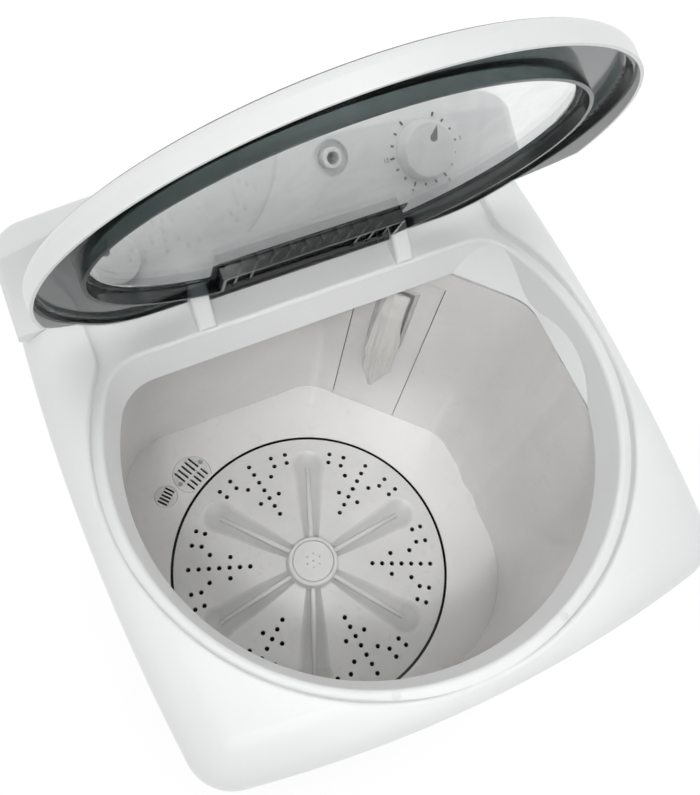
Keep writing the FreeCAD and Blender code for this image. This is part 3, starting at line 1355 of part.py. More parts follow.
def base_frame():
    tray = footprint(CABINET_INSET, FOOT_HEIGHT, BASE_TOP)
    inside = footprint(CABINET_INSET + BASE_WALL, FOOT_HEIGHT + BASE_WALL, BASE_TOP + 1)
    tray = tray.cut(inside)
    floor = FOOT_HEIGHT + BASE_WALL
    posts = [rod(POST_R, at(x, y, floor - 1), BRACKET_Z - GROMMET_H - floor + 1) for x, y in post_places()]
    cup = at(CAPACITOR_X, CAPACITOR_Y, floor)
    seat = rod(CAPACITOR_R + BASE_WALL, cup - UP, CAPACITOR_CUP + BASE_WALL + 1)
    seat = seat.cut(rod(CAPACITOR_R, cup + UP * BASE_WALL, CAPACITOR_H))
    tray = joined(tray, seat, *posts)
    for x, y in foot_places():
        tray = tray.cut(rod(FOOT_STEM_R, at(x, y, FOOT_HEIGHT - 1), BASE_WALL + 2))
    drain = rod(BASE_HEIGHT, AXIS + UP * (FOOT_HEIGHT - 1), BASE_WALL + 2)
    return tray.cut(drain)


def foot_places():
    return [(s * FOOT_X, y) for y in (FOOT_FRONT_Y, FOOT_BACK_Y) for s in (-1, 1)]


def feet():
    made = []
    for x, y in foot_places():
        pad = rod(FOOT_R, at(x, y, 0), FOOT_HEIGHT)
        pad = pad.makeChamfer(FOOT_CHAMFER, [e for e in pad.Edges if e.BoundBox.ZMax < 0.01])
        stem = rod(FOOT_STEM_R, at(x, y, FOOT_HEIGHT), BASE_WALL)
        made.append(joined(pad, stem))
    return group(made)


def cabinet_shell():
    top = FLANGE_Z - FLANGE_T
    shell = footprint(CABINET_INSET, BASE_TOP, top)
    shell = shell.cut(footprint(CABINET_INSET + CABINET_WALL, BASE_TOP - 1, top + 1))
    half = COVER_HALF_WIDTH - COVER_LAP
    hatch = block(-half, half, BACK_Y - BACK_CORNER_R, BACK_Y,
                  COVER_Z + COVER_LAP, COVER_Z + COVER_HEIGHT - COVER_LAP)
    shell = shell.cut(hatch)
    shell = shell.cut(rod(OUTLET_HOLE_R, at(-WIDTH / 2, OUTLET_Y, OUTLET_Z), WIDTH / 4, RIGHT))
    for x, z in cover_screw_places():
        shell = shell.cut(rod(PANEL_SCREW_R, at(x, BACK_Y - BACK_CORNER_R, z), BACK_CORNER_R, BACKWARDS))
    return shell


def cover_screw_places():
    inset = COVER_LAP / 2
    places = []
    for x in (-COVER_HALF_WIDTH + inset, COVER_HALF_WIDTH - inset):
        for share in (0.0, 0.5, 1.0):
            places.append((x, COVER_Z + inset + (COVER_HEIGHT - 2 * inset) * share))
    return places


def rear_face():
    return BACK_Y - CABINET_INSET


def rear_cover():
    y0 = rear_face()
    half = COVER_HALF_WIDTH
    plate = block(-half, half, y0, y0 + COVER_PLATE_T, COVER_Z, COVER_Z + COVER_HEIGHT)
    cuts = []
    for x, z in cover_screw_places():
        cuts.append(rod(PANEL_SCREW_R + SCREW_FIT, at(x, y0 - 1, z), COVER_PLATE_T + 2, BACKWARDS))
    cuts.append(rod(GLAND_R - GLAND_NECK, at(GLAND_X, y0 - 1, GLAND_Z), COVER_PLATE_T + 2, BACKWARDS))
    vent_z = COVER_Z + COVER_HEIGHT / 2
    for i in range(VENT_COUNT):
        x = (i - (VENT_COUNT - 1) / 2) * VENT_PITCH
        vent = block(x - VENT_W / 2, x + VENT_W / 2, y0 - 1, y0 + COVER_PLATE_T + 1, vent_z, vent_z + VENT_H)
        cuts.append(vent)
    return plate.cut(group(cuts))


def rear_cover_screws():
    screws = []
    face = rear_face() + COVER_PLATE_T
    for x, z in cover_screw_places():
        head = rod(PANEL_SCREW_HEAD_R, at(x, face, z), PANEL_SCREW_HEAD_T, BACKWARDS)
        shank = rod(PANEL_SCREW_R, at(x, face - PANEL_SCREW_L, z), PANEL_SCREW_L, BACKWARDS)
        screws.append(joined(head, shank))
    return group(screws)


def cord_gland():
    face = rear_face() + COVER_PLATE_T
    rim = rod(GLAND_R, at(GLAND_X, face, GLAND_Z), PANEL_SCREW_HEAD_T, BACKWARDS)
    body = rod(GLAND_R - GLAND_NECK - SEAM / 2, at(GLAND_X, face - GLAND_L, GLAND_Z), GLAND_L, BACKWARDS)
    nut = rod(GLAND_R, at(GLAND_X, rear_face() - SEAM - GLAND_NUT_T, GLAND_Z), GLAND_NUT_T, BACKWARDS)
    bore = rod(GLAND_BORE_R, at(GLAND_X, face - GLAND_L - 1, GLAND_Z), GLAND_L + 4, BACKWARDS)
    return joined(rim, body, nut).cut(bore)


def run_capacitor():
    foot = FOOT_HEIGHT + 2 * BASE_WALL
    can = rod(CAPACITOR_R, at(CAPACITOR_X, CAPACITOR_Y, foot), CAPACITOR_H)
    can = can.makeFillet(CAPACITOR_EDGE_R, [e for e in can.Edges if e.BoundBox.ZMin > foot + CAPACITOR_H - 1])
    tabs = []
    for x in (CAPACITOR_X - TAB_X, CAPACITOR_X + TAB_X):
        tabs.append(block(x - TAB_T / 2, x + TAB_T / 2, CAPACITOR_Y - TAB_W / 2, CAPACITOR_Y + TAB_W / 2,
                          foot + CAPACITOR_H - TAB_T, foot + CAPACITOR_H + TAB_H))
    return joined(can, *tabs)


def drain_sump():
    top = FLOOR_Z - TUB_FLOOR_T
    low = top - SUMP_DEPTH
    cup = sump_plan(SUMP_WALL, low, top).cut(sump_plan(0.0, low + SUMP_WALL, top + 1))
    start, end, reach = sump_to_valve()
    heading = (end - start).normalize()
    pipe = rod(PIPE_R, start, reach, heading)
    bore = rod(PIPE_BORE_R, start, reach + VALVE_R, heading)
    shell = joined(cup, pipe).cut(bore)
    shell = shell.cut(sump_plan(0.0, low + SUMP_WALL, top + 1))
    return shell.cut(rod(VALVE_R, at(DRAIN_KNOB_X, VALVE_Y, FLOOR_Z - 2 * VALVE_HEIGHT), 3 * VALVE_HEIGHT))


def sump_to_valve():
    """Start, end and length of the short pipe from the sump to the valve."""
    heading = math.radians(grille_heading())
    z = FLOOR_Z - TUB_FLOOR_T - SUMP_DEPTH / 2
    start = at(GRILLE_X - SUMP_SHIFT * math.cos(heading), GRILLE_Y - SUMP_SHIFT * math.sin(heading), z)
    end = at(DRAIN_KNOB_X, VALVE_Y, z)
    return start, end, (end - start).Length


def valve_low():
    return VALVE_TOP_Z - VALVE_HEIGHT


def drain_valve_body():
    low = valve_low()
    centre = at(DRAIN_KNOB_X, VALVE_Y, low)
    shell = rod(VALVE_R, centre, VALVE_HEIGHT).cut(rod(VALVE_BORE_R, centre + UP * VALVE_FLOOR, VALVE_HEIGHT))
    shell = shell.cut(rod(VALVE_SEAT_R, centre - UP, VALVE_FLOOR + 2))
    start, end, reach = sump_to_valve()
    return shell.cut(rod(PIPE_BORE_R, start, reach, (end - start).normalize()))


def valve_cap():
    foot = at(DRAIN_KNOB_X, VALVE_Y, VALVE_TOP_Z)
    return tube(VALVE_R, VALVE_STEM_R + RUN_FIT, foot, VALVE_CAP_T)


def disc_z():
    return valve_low() + VALVE_FLOOR + SEAM


def valve_seal():
    return rod(VALVE_SEAL_R, at(DRAIN_KNOB_X, VALVE_Y, disc_z()), VALVE_SEAL_T)


def valve_plunger():
    foot = disc_z() + VALVE_SEAL_T
    disc = rod(VALVE_DISC_R, at(DRAIN_KNOB_X, VALVE_Y, foot), VALVE_DISC_T)
    stem_top = VALVE_TOP_Z + VALVE_CAP_T + VALVE_STEM_OUT
    stem = rod(VALVE_STEM_R, at(DRAIN_KNOB_X, VALVE_Y, foot), stem_top - foot)
    slit = block(DRAIN_KNOB_X - PULL_W, DRAIN_KNOB_X + PULL_W, VALVE_Y - PULL_T / 2, VALVE_Y + PULL_T / 2,
                 stem_top - PULL_W, stem_top + 1)
    return joined(disc, stem).cut(slit)


def valve_spring():
    low = disc_z() + VALVE_SEAL_T + VALVE_DISC_T + SPRING_WIRE_R + SEAM
    high = VALVE_TOP_Z - SPRING_WIRE_R - SEAM
    pitch = (high - low) / SPRING_TURNS
    helix = Part.makeHelix(pitch, high - low, SPRING_R)
    ring = Part.Circle(at(SPRING_R, 0, 0), BACKWARDS, SPRING_WIRE_R).toShape()
    coil = Part.Wire(helix).makePipeShell([Part.Wire([ring])], True, True)
    coil.translate(at(DRAIN_KNOB_X, VALVE_Y, low))
    return coil


def crank_centre_z():
    slope = math.radians(CONSOLE_SLOPE)
    return slope_z(DRAIN_KNOB_Y) - (CRANK_DROP + CRANK_T) * math.cos(slope)


def pull_strap():
    """Flat strap from the plunger up to just under the knob's crank."""
    low = VALVE_TOP_Z + VALVE_CAP_T + VALVE_STEM_OUT - PULL_W
    slope = math.radians(CONSOLE_SLOPE)
    high = crank_centre_z() - CRANK_R * math.sin(slope) - CRANK_PIN_H - VALVE_LIFT - PULL_GAP
    half = PULL_W / 2
    front = VALVE_Y - PULL_T / 2
    strap = block(DRAIN_KNOB_X - half, DRAIN_KNOB_X + half, front, front + PULL_T, low, high)
    eye = rod(CRANK_PIN_R, at(DRAIN_KNOB_X, VALVE_Y - PULL_T, high - half), PULL_T * 2, BACKWARDS)
    return strap.cut(eye)


def pipe_run(radius, points):
    """Round pipe through the points, with ball corners."""
    pieces = []
    for start, end in zip(points, points[1:]):
        pieces.append(rod(radius, start, (end - start).Length, end - start))
    for corner in points[1:-1]:
        pieces.append(Part.makeSphere(radius, corner))
    return joined(*pieces)


def drain_outlet():
    """Pipe from the valve down and out through the left side, ending just inside the panel."""
    top = at(DRAIN_KNOB_X, VALVE_Y, valve_low())
    end_x = -side_half_width(OUTLET_Y) + CABINET_INSET + OUTLET_SET_BACK
    knee = at(DRAIN_KNOB_X, OUTLET_Y, OUTLET_Z)
    end = at(end_x, OUTLET_Y, OUTLET_Z)
    outside = pipe_run(OUTLET_R, [top, top + DOWN * OUTLET_NECK, knee, end])
    bore = pipe_run(OUTLET_BORE_R, [top + UP, top + DOWN * OUTLET_NECK, knee, end + RIGHT * -1])
    socket = rod(OUTLET_SOCKET_R, end, OUTLET_SOCKET_L, RIGHT)
    return outside.cut(bore).cut(socket)


def side_half_width(y):
    """Half width of the plan at y, on the arc through its front corner, widest point and back corner."""
    front = at(FRONT_HALF_WIDTH, FRONT_Y + FRONT_BOW, 0)
    arc = Part.Arc(front, at(WIDTH / 2, WIDEST_Y, 0), at(BACK_HALF_WIDTH, BACK_Y, 0)).toShape().Curve
    return arc.Center.x + math.sqrt(arc.Radius ** 2 - (y - arc.Center.y) ** 2)


def water_inlet():
    """Hose spigot in the console's recess, with the down pipe behind it."""
    floor = -INLET_RECESS_DEPTH
    spigot = rod(INLET_R, at(0, 0, floor - CONSOLE_WALL), INLET_LENGTH)
    tip = floor - CONSOLE_WALL + INLET_LENGTH
    spigot = spigot.makeFillet(1.0, [e for e in spigot.Edges if e.BoundBox.ZMin > tip - 0.1])
    collar_z = floor - CONSOLE_WALL - INLET_COLLAR_T
    piece = joined(spigot, rod(INLET_R + INLET_COLLAR, at(0, 0, collar_z), INLET_COLLAR_T))
    piece = piece.cut(rod(INLET_BORE_R, at(0, 0, collar_z - 1), INLET_LENGTH + 2 * INLET_COLLAR_T))
    return on_slope(piece, INLET_X, INLET_Y)


def inlet_chute():
    """Pipe from behind the spigot down through the deck into the tub."""
    slope = math.radians(CONSOLE_SLOPE)
    depth = INLET_RECESS_DEPTH + CONSOLE_WALL + INLET_COLLAR_T
    mouth = at(INLET_X, INLET_Y + depth * math.sin(slope), slope_z(INLET_Y) - depth * math.cos(slope))
    bend = at(INLET_X, CHUTE_Y, mouth.z - (mouth.y - CHUTE_Y) * math.tan(slope))
    foot = at(INLET_X, CHUTE_Y, SEAT_Z - CHUTE_DROP)
    run = bend - mouth
    fall = bend.z - foot.z
    elbow = Part.makeSphere(CHUTE_R, bend)
    outside = joined(rod(CHUTE_R, mouth, run.Length, run), elbow, rod(CHUTE_R, foot, fall))
    inner = CHUTE_R - CHUTE_WALL
    bends = [Part.makeSphere(inner, bend), Part.makeSphere(inner, mouth)]
    bore = joined(rod(inner, mouth, run.Length, run), rod(inner, foot - UP, fall + 1), *bends)
    pipe = outside.cut(bore)
    reach = CONSOLE_DEPTH / 2
    face = on_slope(block(-reach, reach, -reach, reach, -depth, reach), INLET_X, INLET_Y)
    return pipe.cut(face)


def knob(radius, height, x, y, turn, length):
    body = Part.makeCone(radius, radius - KNOB_DRAFT, height, at(0, 0, FREE_GAP))
    body = body.makeFillet(KNOB_EDGE_R, [e for e in body.Edges if e.BoundBox.ZMin > height + FREE_GAP - 0.1])
    body = body.cut(rod(SPINDLE_R, at(0, 0, 0), SPINDLE_GRIP + FREE_GAP))
    tear = pointer_form(radius, turn, length, height + FREE_GAP - POINTER_T, POINTER_T * 2, SEAM / 4)
    return on_slope(body.cut(tear), x, y)


def pointer_form(radius, turn, length, z, thick, grow):
    """Teardrop pointing at the knob's edge."""
    tip = radius - KNOB_DRAFT - POINTER_INSET + grow
    half = POINTER_W / 2 + grow
    round_x = tip - length - 2 * grow + half
    reach = tip - round_x
    spread = math.acos(half / reach)
    touch = at(round_x + half * math.cos(spread), half * math.sin(spread), z)
    mirror = at(touch.x, -touch.y, z)
    edges = [
        Part.LineSegment(mirror, at(tip, 0, z)).toShape(),
        Part.LineSegment(at(tip, 0, z), touch).toShape(),
        Part.Arc(touch, at(round_x - half, 0, z), mirror).toShape(),
    ]
    form = Part.Face(Part.Wire(edges)).extrude(UP * thick)
    form.rotate(at(0, 0, 0), UP, turn)
    return form


def knob_pointer(radius, height, x, y, turn, length):
    return on_slope(pointer_form(radius, turn, length, height + FREE_GAP - POINTER_T, POINTER_T, 0.0), x, y)


def timer_spindle():
    low = -CONSOLE_WALL - TIMER_BODY[2] / 2
    return on_slope(rod(SPINDLE_R, at(0, 0, low), SPINDLE_GRIP + FREE_GAP - low), TIMER_X, TIMER_Y)


def timer_body():
    wide, tall, deep = TIMER_BODY
    case = block(-wide / 2, wide / 2, -tall / 2, tall / 2, -CONSOLE_WALL - deep, -CONSOLE_WALL)
    case = case.cut(rod(SPINDLE_R + RUN_FIT, at(0, 0, -CONSOLE_WALL - deep / 2 - FREE_GAP), deep))
    for x in (-TIMER_SCREW_X, TIMER_SCREW_X):
        case = case.cut(rod(TIMER_SCREW_R + SCREW_FIT, at(x, 0, -CONSOLE_WALL - deep - 1), deep + 2))
    return on_slope(case, TIMER_X, TIMER_Y)


def timer_screws():
    deep = TIMER_BODY[2]
    screws = []
    for x in (-TIMER_SCREW_X, TIMER_SCREW_X):
        low = -CONSOLE_WALL - deep
        head = rod(TIMER_SCREW_R * 2, at(x, 0, low - TIMER_SCREW_R), TIMER_SCREW_R)
        shank = rod(TIMER_SCREW_R, at(x, 0, low), deep + CONSOLE_WALL * 0.7)
        screws.append(on_slope(joined(head, shank), TIMER_X, TIMER_Y))
    return group(screws)


def drain_spindle():
    """Knob's spindle, with the crank on its lower end."""
    low = -CRANK_DROP
    spindle = rod(SPINDLE_R, at(0, 0, low), SPINDLE_GRIP + FREE_GAP - low)
    crank = rod(CRANK_R, at(0, 0, low - CRANK_T), CRANK_T)
    turn = math.radians(CRANK_PIN_TURN)
    pin_foot = at(CRANK_PIN_AT * math.cos(turn), CRANK_PIN_AT * math.sin(turn), low - CRANK_T - CRANK_PIN_H)
    pin = rod(CRANK_PIN_R, pin_foot, CRANK_PIN_H)
    return on_slope(joined(spindle, crank, pin), DRAIN_KNOB_X, DRAIN_KNOB_Y)


def spindle_bush():
    """Bush under the console that carries the drain knob's spindle."""
    bush = tube(SPINDLE_R * 2, SPINDLE_R + RUN_FIT, at(0, 0, -CONSOLE_WALL - BUSH_DROP), BUSH_DROP)
    return on_slope(bush, DRAIN_KNOB_X, DRAIN_KNOB_Y)


def build():
    os.makedirs("parts", exist_ok=True)
    save("feet", feet())
    save("base_frame", base_frame())
    save("cabinet_shell", cabinet_shell())
    save("rear_cover", rear_cover())
    save("rear_cover_screws", rear_cover_screws())
    save("cord_gland", cord_gland())
    save("top_deck", top_deck())
    save("deck_screws", deck_screws())
    save("lid_buffers", lid_buffers())
    save("hinge_arm_left", hinge_arm(-1))
    save("hinge_arm_right", hinge_arm(1))
    save("control_console", control_console())
    save("water_inlet", water_inlet())
    save("inlet_chute", inlet_chute())
    save("timer_body", timer_body())
    save("timer_screws", timer_screws())
    save("timer_spindle", timer_spindle())
    timer = (TIMER_KNOB_R, TIMER_KNOB_H, TIMER_X, TIMER_Y, TIMER_TURN, TIMER_POINTER_L)
    save("timer_knob", knob(*timer))
    save("timer_pointer", knob_pointer(*timer))
    save("drain_spindle", drain_spindle())
    save("spindle_bush", spindle_bush())
    drain = (DRAIN_KNOB_R, DRAIN_KNOB_H, DRAIN_KNOB_X, DRAIN_KNOB_Y, DRAIN_TURN, DRAIN_POINTER_L)
    save("drain_knob", knob(*drain))
    save("drain_pointer", knob_pointer(*drain))
    save("lid_rim", lid_rim())
    save("lid_frame", lid_frame())
    save("lid_window", lid_window())
    save("lid_hinge_pins", lid_hinge_pins())
    save("wash_tub", wash_tub())
    save("filter_channel_cover", filter_channel_cover())
    save("lint_filter_frame", lint_filter_frame())
    save("lint_filter_bag", lint_filter_bag())
    save("drain_grille", drain_grille())
    save("drain_grille_screws", drain_grille_screws())
    save("bleed_grille", bleed_grille())
    save("pulsator", pulsator())
    save("pulsator_cap", pulsator_cap())
    save("pulsator_screw", pulsator_screw())
    save("pulsator_shaft", pulsator_shaft())
    save("bearing_housing", bearing_housing())
    save("shaft_bushes", shaft_bushes())
    save("shaft_seal", shaft_seal())
    save("housing_bolts", housing_bolts())
    save("driven_pulley", pulley(PULLEY_R, AXIS, SHAFT_R))
    save("pulley_nut", pulley_nut())
    save("drive_belt", drive_belt())
    save("drive_pulley", pulley(MOTOR_PULLEY_R, motor_centre(0), MOTOR_SHAFT_R))
    save("motor_rotor", motor_rotor())
    save("motor_body", motor_body())
    save("motor_bracket", motor_bracket())
    save("motor_grommets", motor_grommets())
    save("motor_bolts", motor_bolts())
    save("run_capacitor", run_capacitor())
    save("drain_sump", drain_sump())
    save("drain_valve_body", drain_valve_body())
    save("valve_cap", valve_cap())
    save("valve_seal", valve_seal())
    save("valve_plunger", valve_plunger())
    save("valve_spring", valve_spring())
    save("pull_strap", pull_strap())
    save("drain_outlet", drain_outlet())


build()
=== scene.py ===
import bpy
import math
from mathutils import Matrix, Vector, noise


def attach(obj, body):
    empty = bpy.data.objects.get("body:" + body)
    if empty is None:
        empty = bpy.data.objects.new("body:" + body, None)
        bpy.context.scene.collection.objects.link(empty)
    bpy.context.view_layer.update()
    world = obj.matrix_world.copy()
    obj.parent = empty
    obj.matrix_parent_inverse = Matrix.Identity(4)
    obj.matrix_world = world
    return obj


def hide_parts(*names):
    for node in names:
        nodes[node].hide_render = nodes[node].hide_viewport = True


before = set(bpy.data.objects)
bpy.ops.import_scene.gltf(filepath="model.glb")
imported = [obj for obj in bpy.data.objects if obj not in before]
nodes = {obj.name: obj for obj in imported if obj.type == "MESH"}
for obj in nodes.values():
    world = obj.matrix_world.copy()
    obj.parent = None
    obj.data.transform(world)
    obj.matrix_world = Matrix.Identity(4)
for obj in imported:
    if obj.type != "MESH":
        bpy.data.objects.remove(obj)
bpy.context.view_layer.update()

scene = bpy.context.scene
scene.view_settings.view_transform = "Standard"
MM = 0.001

# Console face, in millimetres: it rises backwards from its lower front edge
CONSOLE_SLOPE = math.radians(38.7)
CONSOLE_FRONT_Y = 168.0
CONSOLE_FRONT_Z = 796.0
TIMER_X = 146.0
TIMER_Y = 208.0

# Timer's printed scale, in minutes, degrees and millimetres, its marks' rounding as a share of their width
SCALE_MINUTES = 15
SCALE_STEP = 3
SCALE_START = 60.0
SCALE_SWEEP = 300.0
TICK_INNER = 29.6
TICK_LONG = 4.2
TICK_SHORT = 3.0
TICK_WIDTH = 1.8
TICK_ROUND = 0.3
INK_THICK = 0.08
DIGIT_RING = 38.0
DIGIT_HEIGHT = 5.2

# Lint bag, in millimetres, in the frame of the tub's diagonal wall: x along it, y outwards
DIAGONAL = 260.5
BAG_X = -17.0
BAG_FRONT_Y = -3.0
BAG_LOW_Z = 461.0
BAG_HIGH_Z = 684.0
BAG_HALF_WIDTH = 15.6
BAG_BULGE = 22.0
BAG_CLOTH_THICK = 0.4
NET_PITCH = 1.6
# Shares of the bag's height, half-width and bulge, from its foot up
BAG_STATIONS = ((0.0, 0.22, 0.30), (0.07, 0.40, 0.45), (0.25, 0.88, 0.80), (0.55, 0.97, 0.95),
                (0.85, 0.88, 0.62), (0.95, 0.88, 0.36), (1.0, 0.86, 0.07))
BAG_ROUND = 112
BAG_RINGS = 64
# Flat size of the bag's cloth, in metres
BAG_CUT = (0.085, 0.235)
# Slack in the bag's folds, as shares of its girth: at its ends, and gained between them
BAG_SLACK = (0.05, 0.21)
BAG_SLACK_REACH = 1.25
BAG_SLACK_EASE = 0.8
# Waves up the bag: size, turn over its height, and start, the sway's size in millimetres
BAG_SWAY = (1.6, 5.1, 0.6)
BAG_WANDER = ((0.9, 3.7, 0.5), (0.5, 11.0, 0.0))
# Folds round the bag: size, count, how far they follow the wander, and start
BAG_FOLDS = ((0.62, 7, 1.0, 0.0), (0.38, 12, -1.7, 1.0))
# Creases: how close they lie round and up the bag, their size beside the folds, and their lift in millimetres
BAG_CREASE_ROUND = 2.2
BAG_CREASE_UP = 10.0
BAG_CREASE_SIZE = 0.7
BAG_CREASE_LIFT = 1.5

# Painted shade under the tub's floor level and in the pulsator's jets, and lighter painted shade in its
# petals, in millimetres
SHADE_BELOW_LEVEL = 368.3
DEEP_SHADE_COLOUR = "2b2a28"
SOFT_SHADE_COLOUR = "d2d2d1"
SOFT_SHADE_DEPTH = (0.6, 3.6)
PULSATOR_AXIS = (-32.0, -32.0)
PULSATOR_RIM_Z = 370.0
PULSATOR_RIM_R = 168.0
PULSATOR_RISE = 22.0
PULSATOR_RUN = 137.0
PULSATOR_SLOPE = PULSATOR_RISE / PULSATOR_RUN
PETAL_RIB_TURN = math.radians(68.5)
PETAL_SECTOR = math.radians(60.0)
PETAL_EDGE = 8.0
PETAL_SPREAD = 0.107
JET_RING = (62.0, 163.0)
JET_LIP = 0.7

# Finishes: where a mottle turns dark and light, where rubs begin and end, and how gloss varies with grain
SHADE_LOW, SHADE_HIGH = 0.35, 0.65
RUB_LOW, RUB_HIGH = 0.58, 0.78
PLASTIC_GLOSS = (0.85, 1.15)
METAL_GLOSS = (0.75, 1.25)
PLASTIC_IOR = 1.49

# Studio: its floor's side in metres, and how brightly its floor, room and backdrop shine
FLOOR_SIDE = 8.0
FLOOR_GLOW = 0.86
ROOM_LIGHT = 0.77
BACKDROP_GLOW = 1.0

# Photograph's camera: place in metres, its right, up and back directions, and its lens in millimetres
CAMERA_PLACE = (-0.20775, -0.22028, 1.5185)
CAMERA_AXES = ((0.9048, -0.4105, 0.1133), (0.3431, 0.8604, 0.3769), (-0.2522, -0.3021, 0.9193))
CAMERA_LENS = 42.26
CAMERA_SENSOR = 36.0

# Sockets of a Mix node for colours, by number, because its sockets for other values have the same names
MIX_SHARE, MIX_UNDER, MIX_OVER, MIX_RESULT = 0, 6, 7, 2


def linear(hex_colour):
    """sRGB hex to the linear colour that a shader takes."""
    channels = []
    for i in (0, 2, 4):
        c = int(hex_colour[i:i + 2], 16) / 255
        channels.append(c / 12.92 if c <= 0.04045 else ((c + 0.055) / 1.055) ** 2.4)
    return (*channels, 1.0)


def add(tree, kind, settings=None, links=None):
    """One shader node: settings fill its sockets, ramp stops or properties, and links feed its sockets."""
    node = tree.nodes.new(kind)
    for name, value in (settings or {}).items():
        if isinstance(name, int) or name in node.inputs:
            node.inputs[name].default_value = value
        elif name == "stops":
            for element, (position, colour) in zip(node.color_ramp.elements, value):
                element.position = position
                element.color = linear(colour)
        else:
            setattr(node, name, value)
    for name, source in (links or {}).items():
        tree.links.new(source, node.inputs[name])
    return node


def new_material(name):
    """Material with no nodes yet, and its node tree."""
    material = bpy.data.materials.new(name)
    material.use_nodes = True
    material.node_tree.nodes.clear()
    return material, material.node_tree


def under_floor(tree, place):
    """Share of painted shade below the tub's floor level."""
    height = add(tree, "ShaderNodeSeparateXYZ", {}, {"Vector": place}).outputs["Z"]
    below = add(tree, "ShaderNodeMath", {"operation": "LESS_THAN", 1: SHADE_BELOW_LEVEL * MM}, {0: height})
    return below.outputs["Value"]


def on_pulsator(tree, place):
    """Radius on the pulsator, whether a place is between its petals, and how deep it is under its cone."""
    axis_x, axis_y = PULSATOR_AXIS
    flat = add(tree, "ShaderNodeVectorMath",
               {"operation": "MULTIPLY_ADD", 1: (1, 1, 0), 2: (-axis_x * MM, -axis_y * MM, 0)}, {0: place})
    plan = flat.outputs["Vector"]
    radius = add(tree, "ShaderNodeVectorMath", {"operation": "LENGTH"}, {0: plan}).outputs["Value"]
    sides = add(tree, "ShaderNodeSeparateXYZ", {}, {"Vector": plan}).outputs
    bearing = add(tree, "ShaderNodeMath", {"operation": "ARCTAN2"}, {0: sides["Y"], 1: sides["X"]})
    off_rib = bearing.outputs["Value"]
    for step in ({"operation": "ADD", 1: 2 * math.pi - PETAL_RIB_TURN},
                 {"operation": "PINGPONG", 1: PETAL_SECTOR / 2}, {"operation": "SINE"}):
        off_rib = add(tree, "ShaderNodeMath", step, {0: off_rib}).outputs["Value"]
    aside = add(tree, "ShaderNodeMath", {"operation": "MULTIPLY"}, {0: radius, 1: off_rib})
    petal_half = add(tree, "ShaderNodeMath",
                     {"operation": "MULTIPLY_ADD", 1: PETAL_SPREAD, 2: PETAL_EDGE * MM}, {0: radius})
    between = add(tree, "ShaderNodeMath", {"operation": "GREATER_THAN"},
                  {0: aside.outputs["Value"], 1: petal_half.outputs["Value"]})
    cone_top = (PULSATOR_RIM_Z + PULSATOR_RIM_R * PULSATOR_SLOPE) * MM
    cone = add(tree, "ShaderNodeMath", {"operation": "MULTIPLY_ADD", 1: -PULSATOR_SLOPE, 2: cone_top},
               {0: radius})
    height = add(tree, "ShaderNodeSeparateXYZ", {}, {"Vector": place}).outputs["Z"]
    depth = add(tree, "ShaderNodeMath", {"operation": "SUBTRACT"}, {0: cone.outputs["Value"], 1: height})
    return radius, between.outputs["Value"], depth.outputs["Value"]


def in_jets(tree, place):
    """Share of painted shade inside the pulsator's jets, under their lips."""
    radius, share, depth = on_pulsator(tree, place)
    for operation, value, limit in (("GREATER_THAN", depth, JET_LIP), ("GREATER_THAN", radius, JET_RING[0]),
                                    ("LESS_THAN", radius, JET_RING[1])):
        held = add(tree, "ShaderNodeMath", {"operation": operation, 1: limit * MM}, {0: value})
        both = add(tree, "ShaderNodeMath", {"operation": "MULTIPLY"}, {0: share, 1: held.outputs["Value"]})
        share = both.outputs["Value"]
    return share


def in_petals(tree, place):
    """Share of the light grey painted shade down in the petals, growing with depth under the cone."""
    radius, between, depth = on_pulsator(tree, place)
    soft_shade = add(tree, "ShaderNodeMapRange",
               {"From Min": SOFT_SHADE_DEPTH[0] * MM, "From Max": SOFT_SHADE_DEPTH[1] * MM}, {"Value": depth})
    petal = add(tree, "ShaderNodeMath", {"operation": "SUBTRACT", 0: 1.0}, {1: between})
    inside = add(tree, "ShaderNodeMath", {"operation": "LESS_THAN", 1: JET_RING[1] * MM}, {0: radius})
    share = soft_shade.outputs["Result"]
    for held in (petal, inside):
        both = add(tree, "ShaderNodeMath", {"operation": "MULTIPLY"}, {0: share, 1: held.outputs["Value"]})
        share = both.outputs["Value"]
    return share


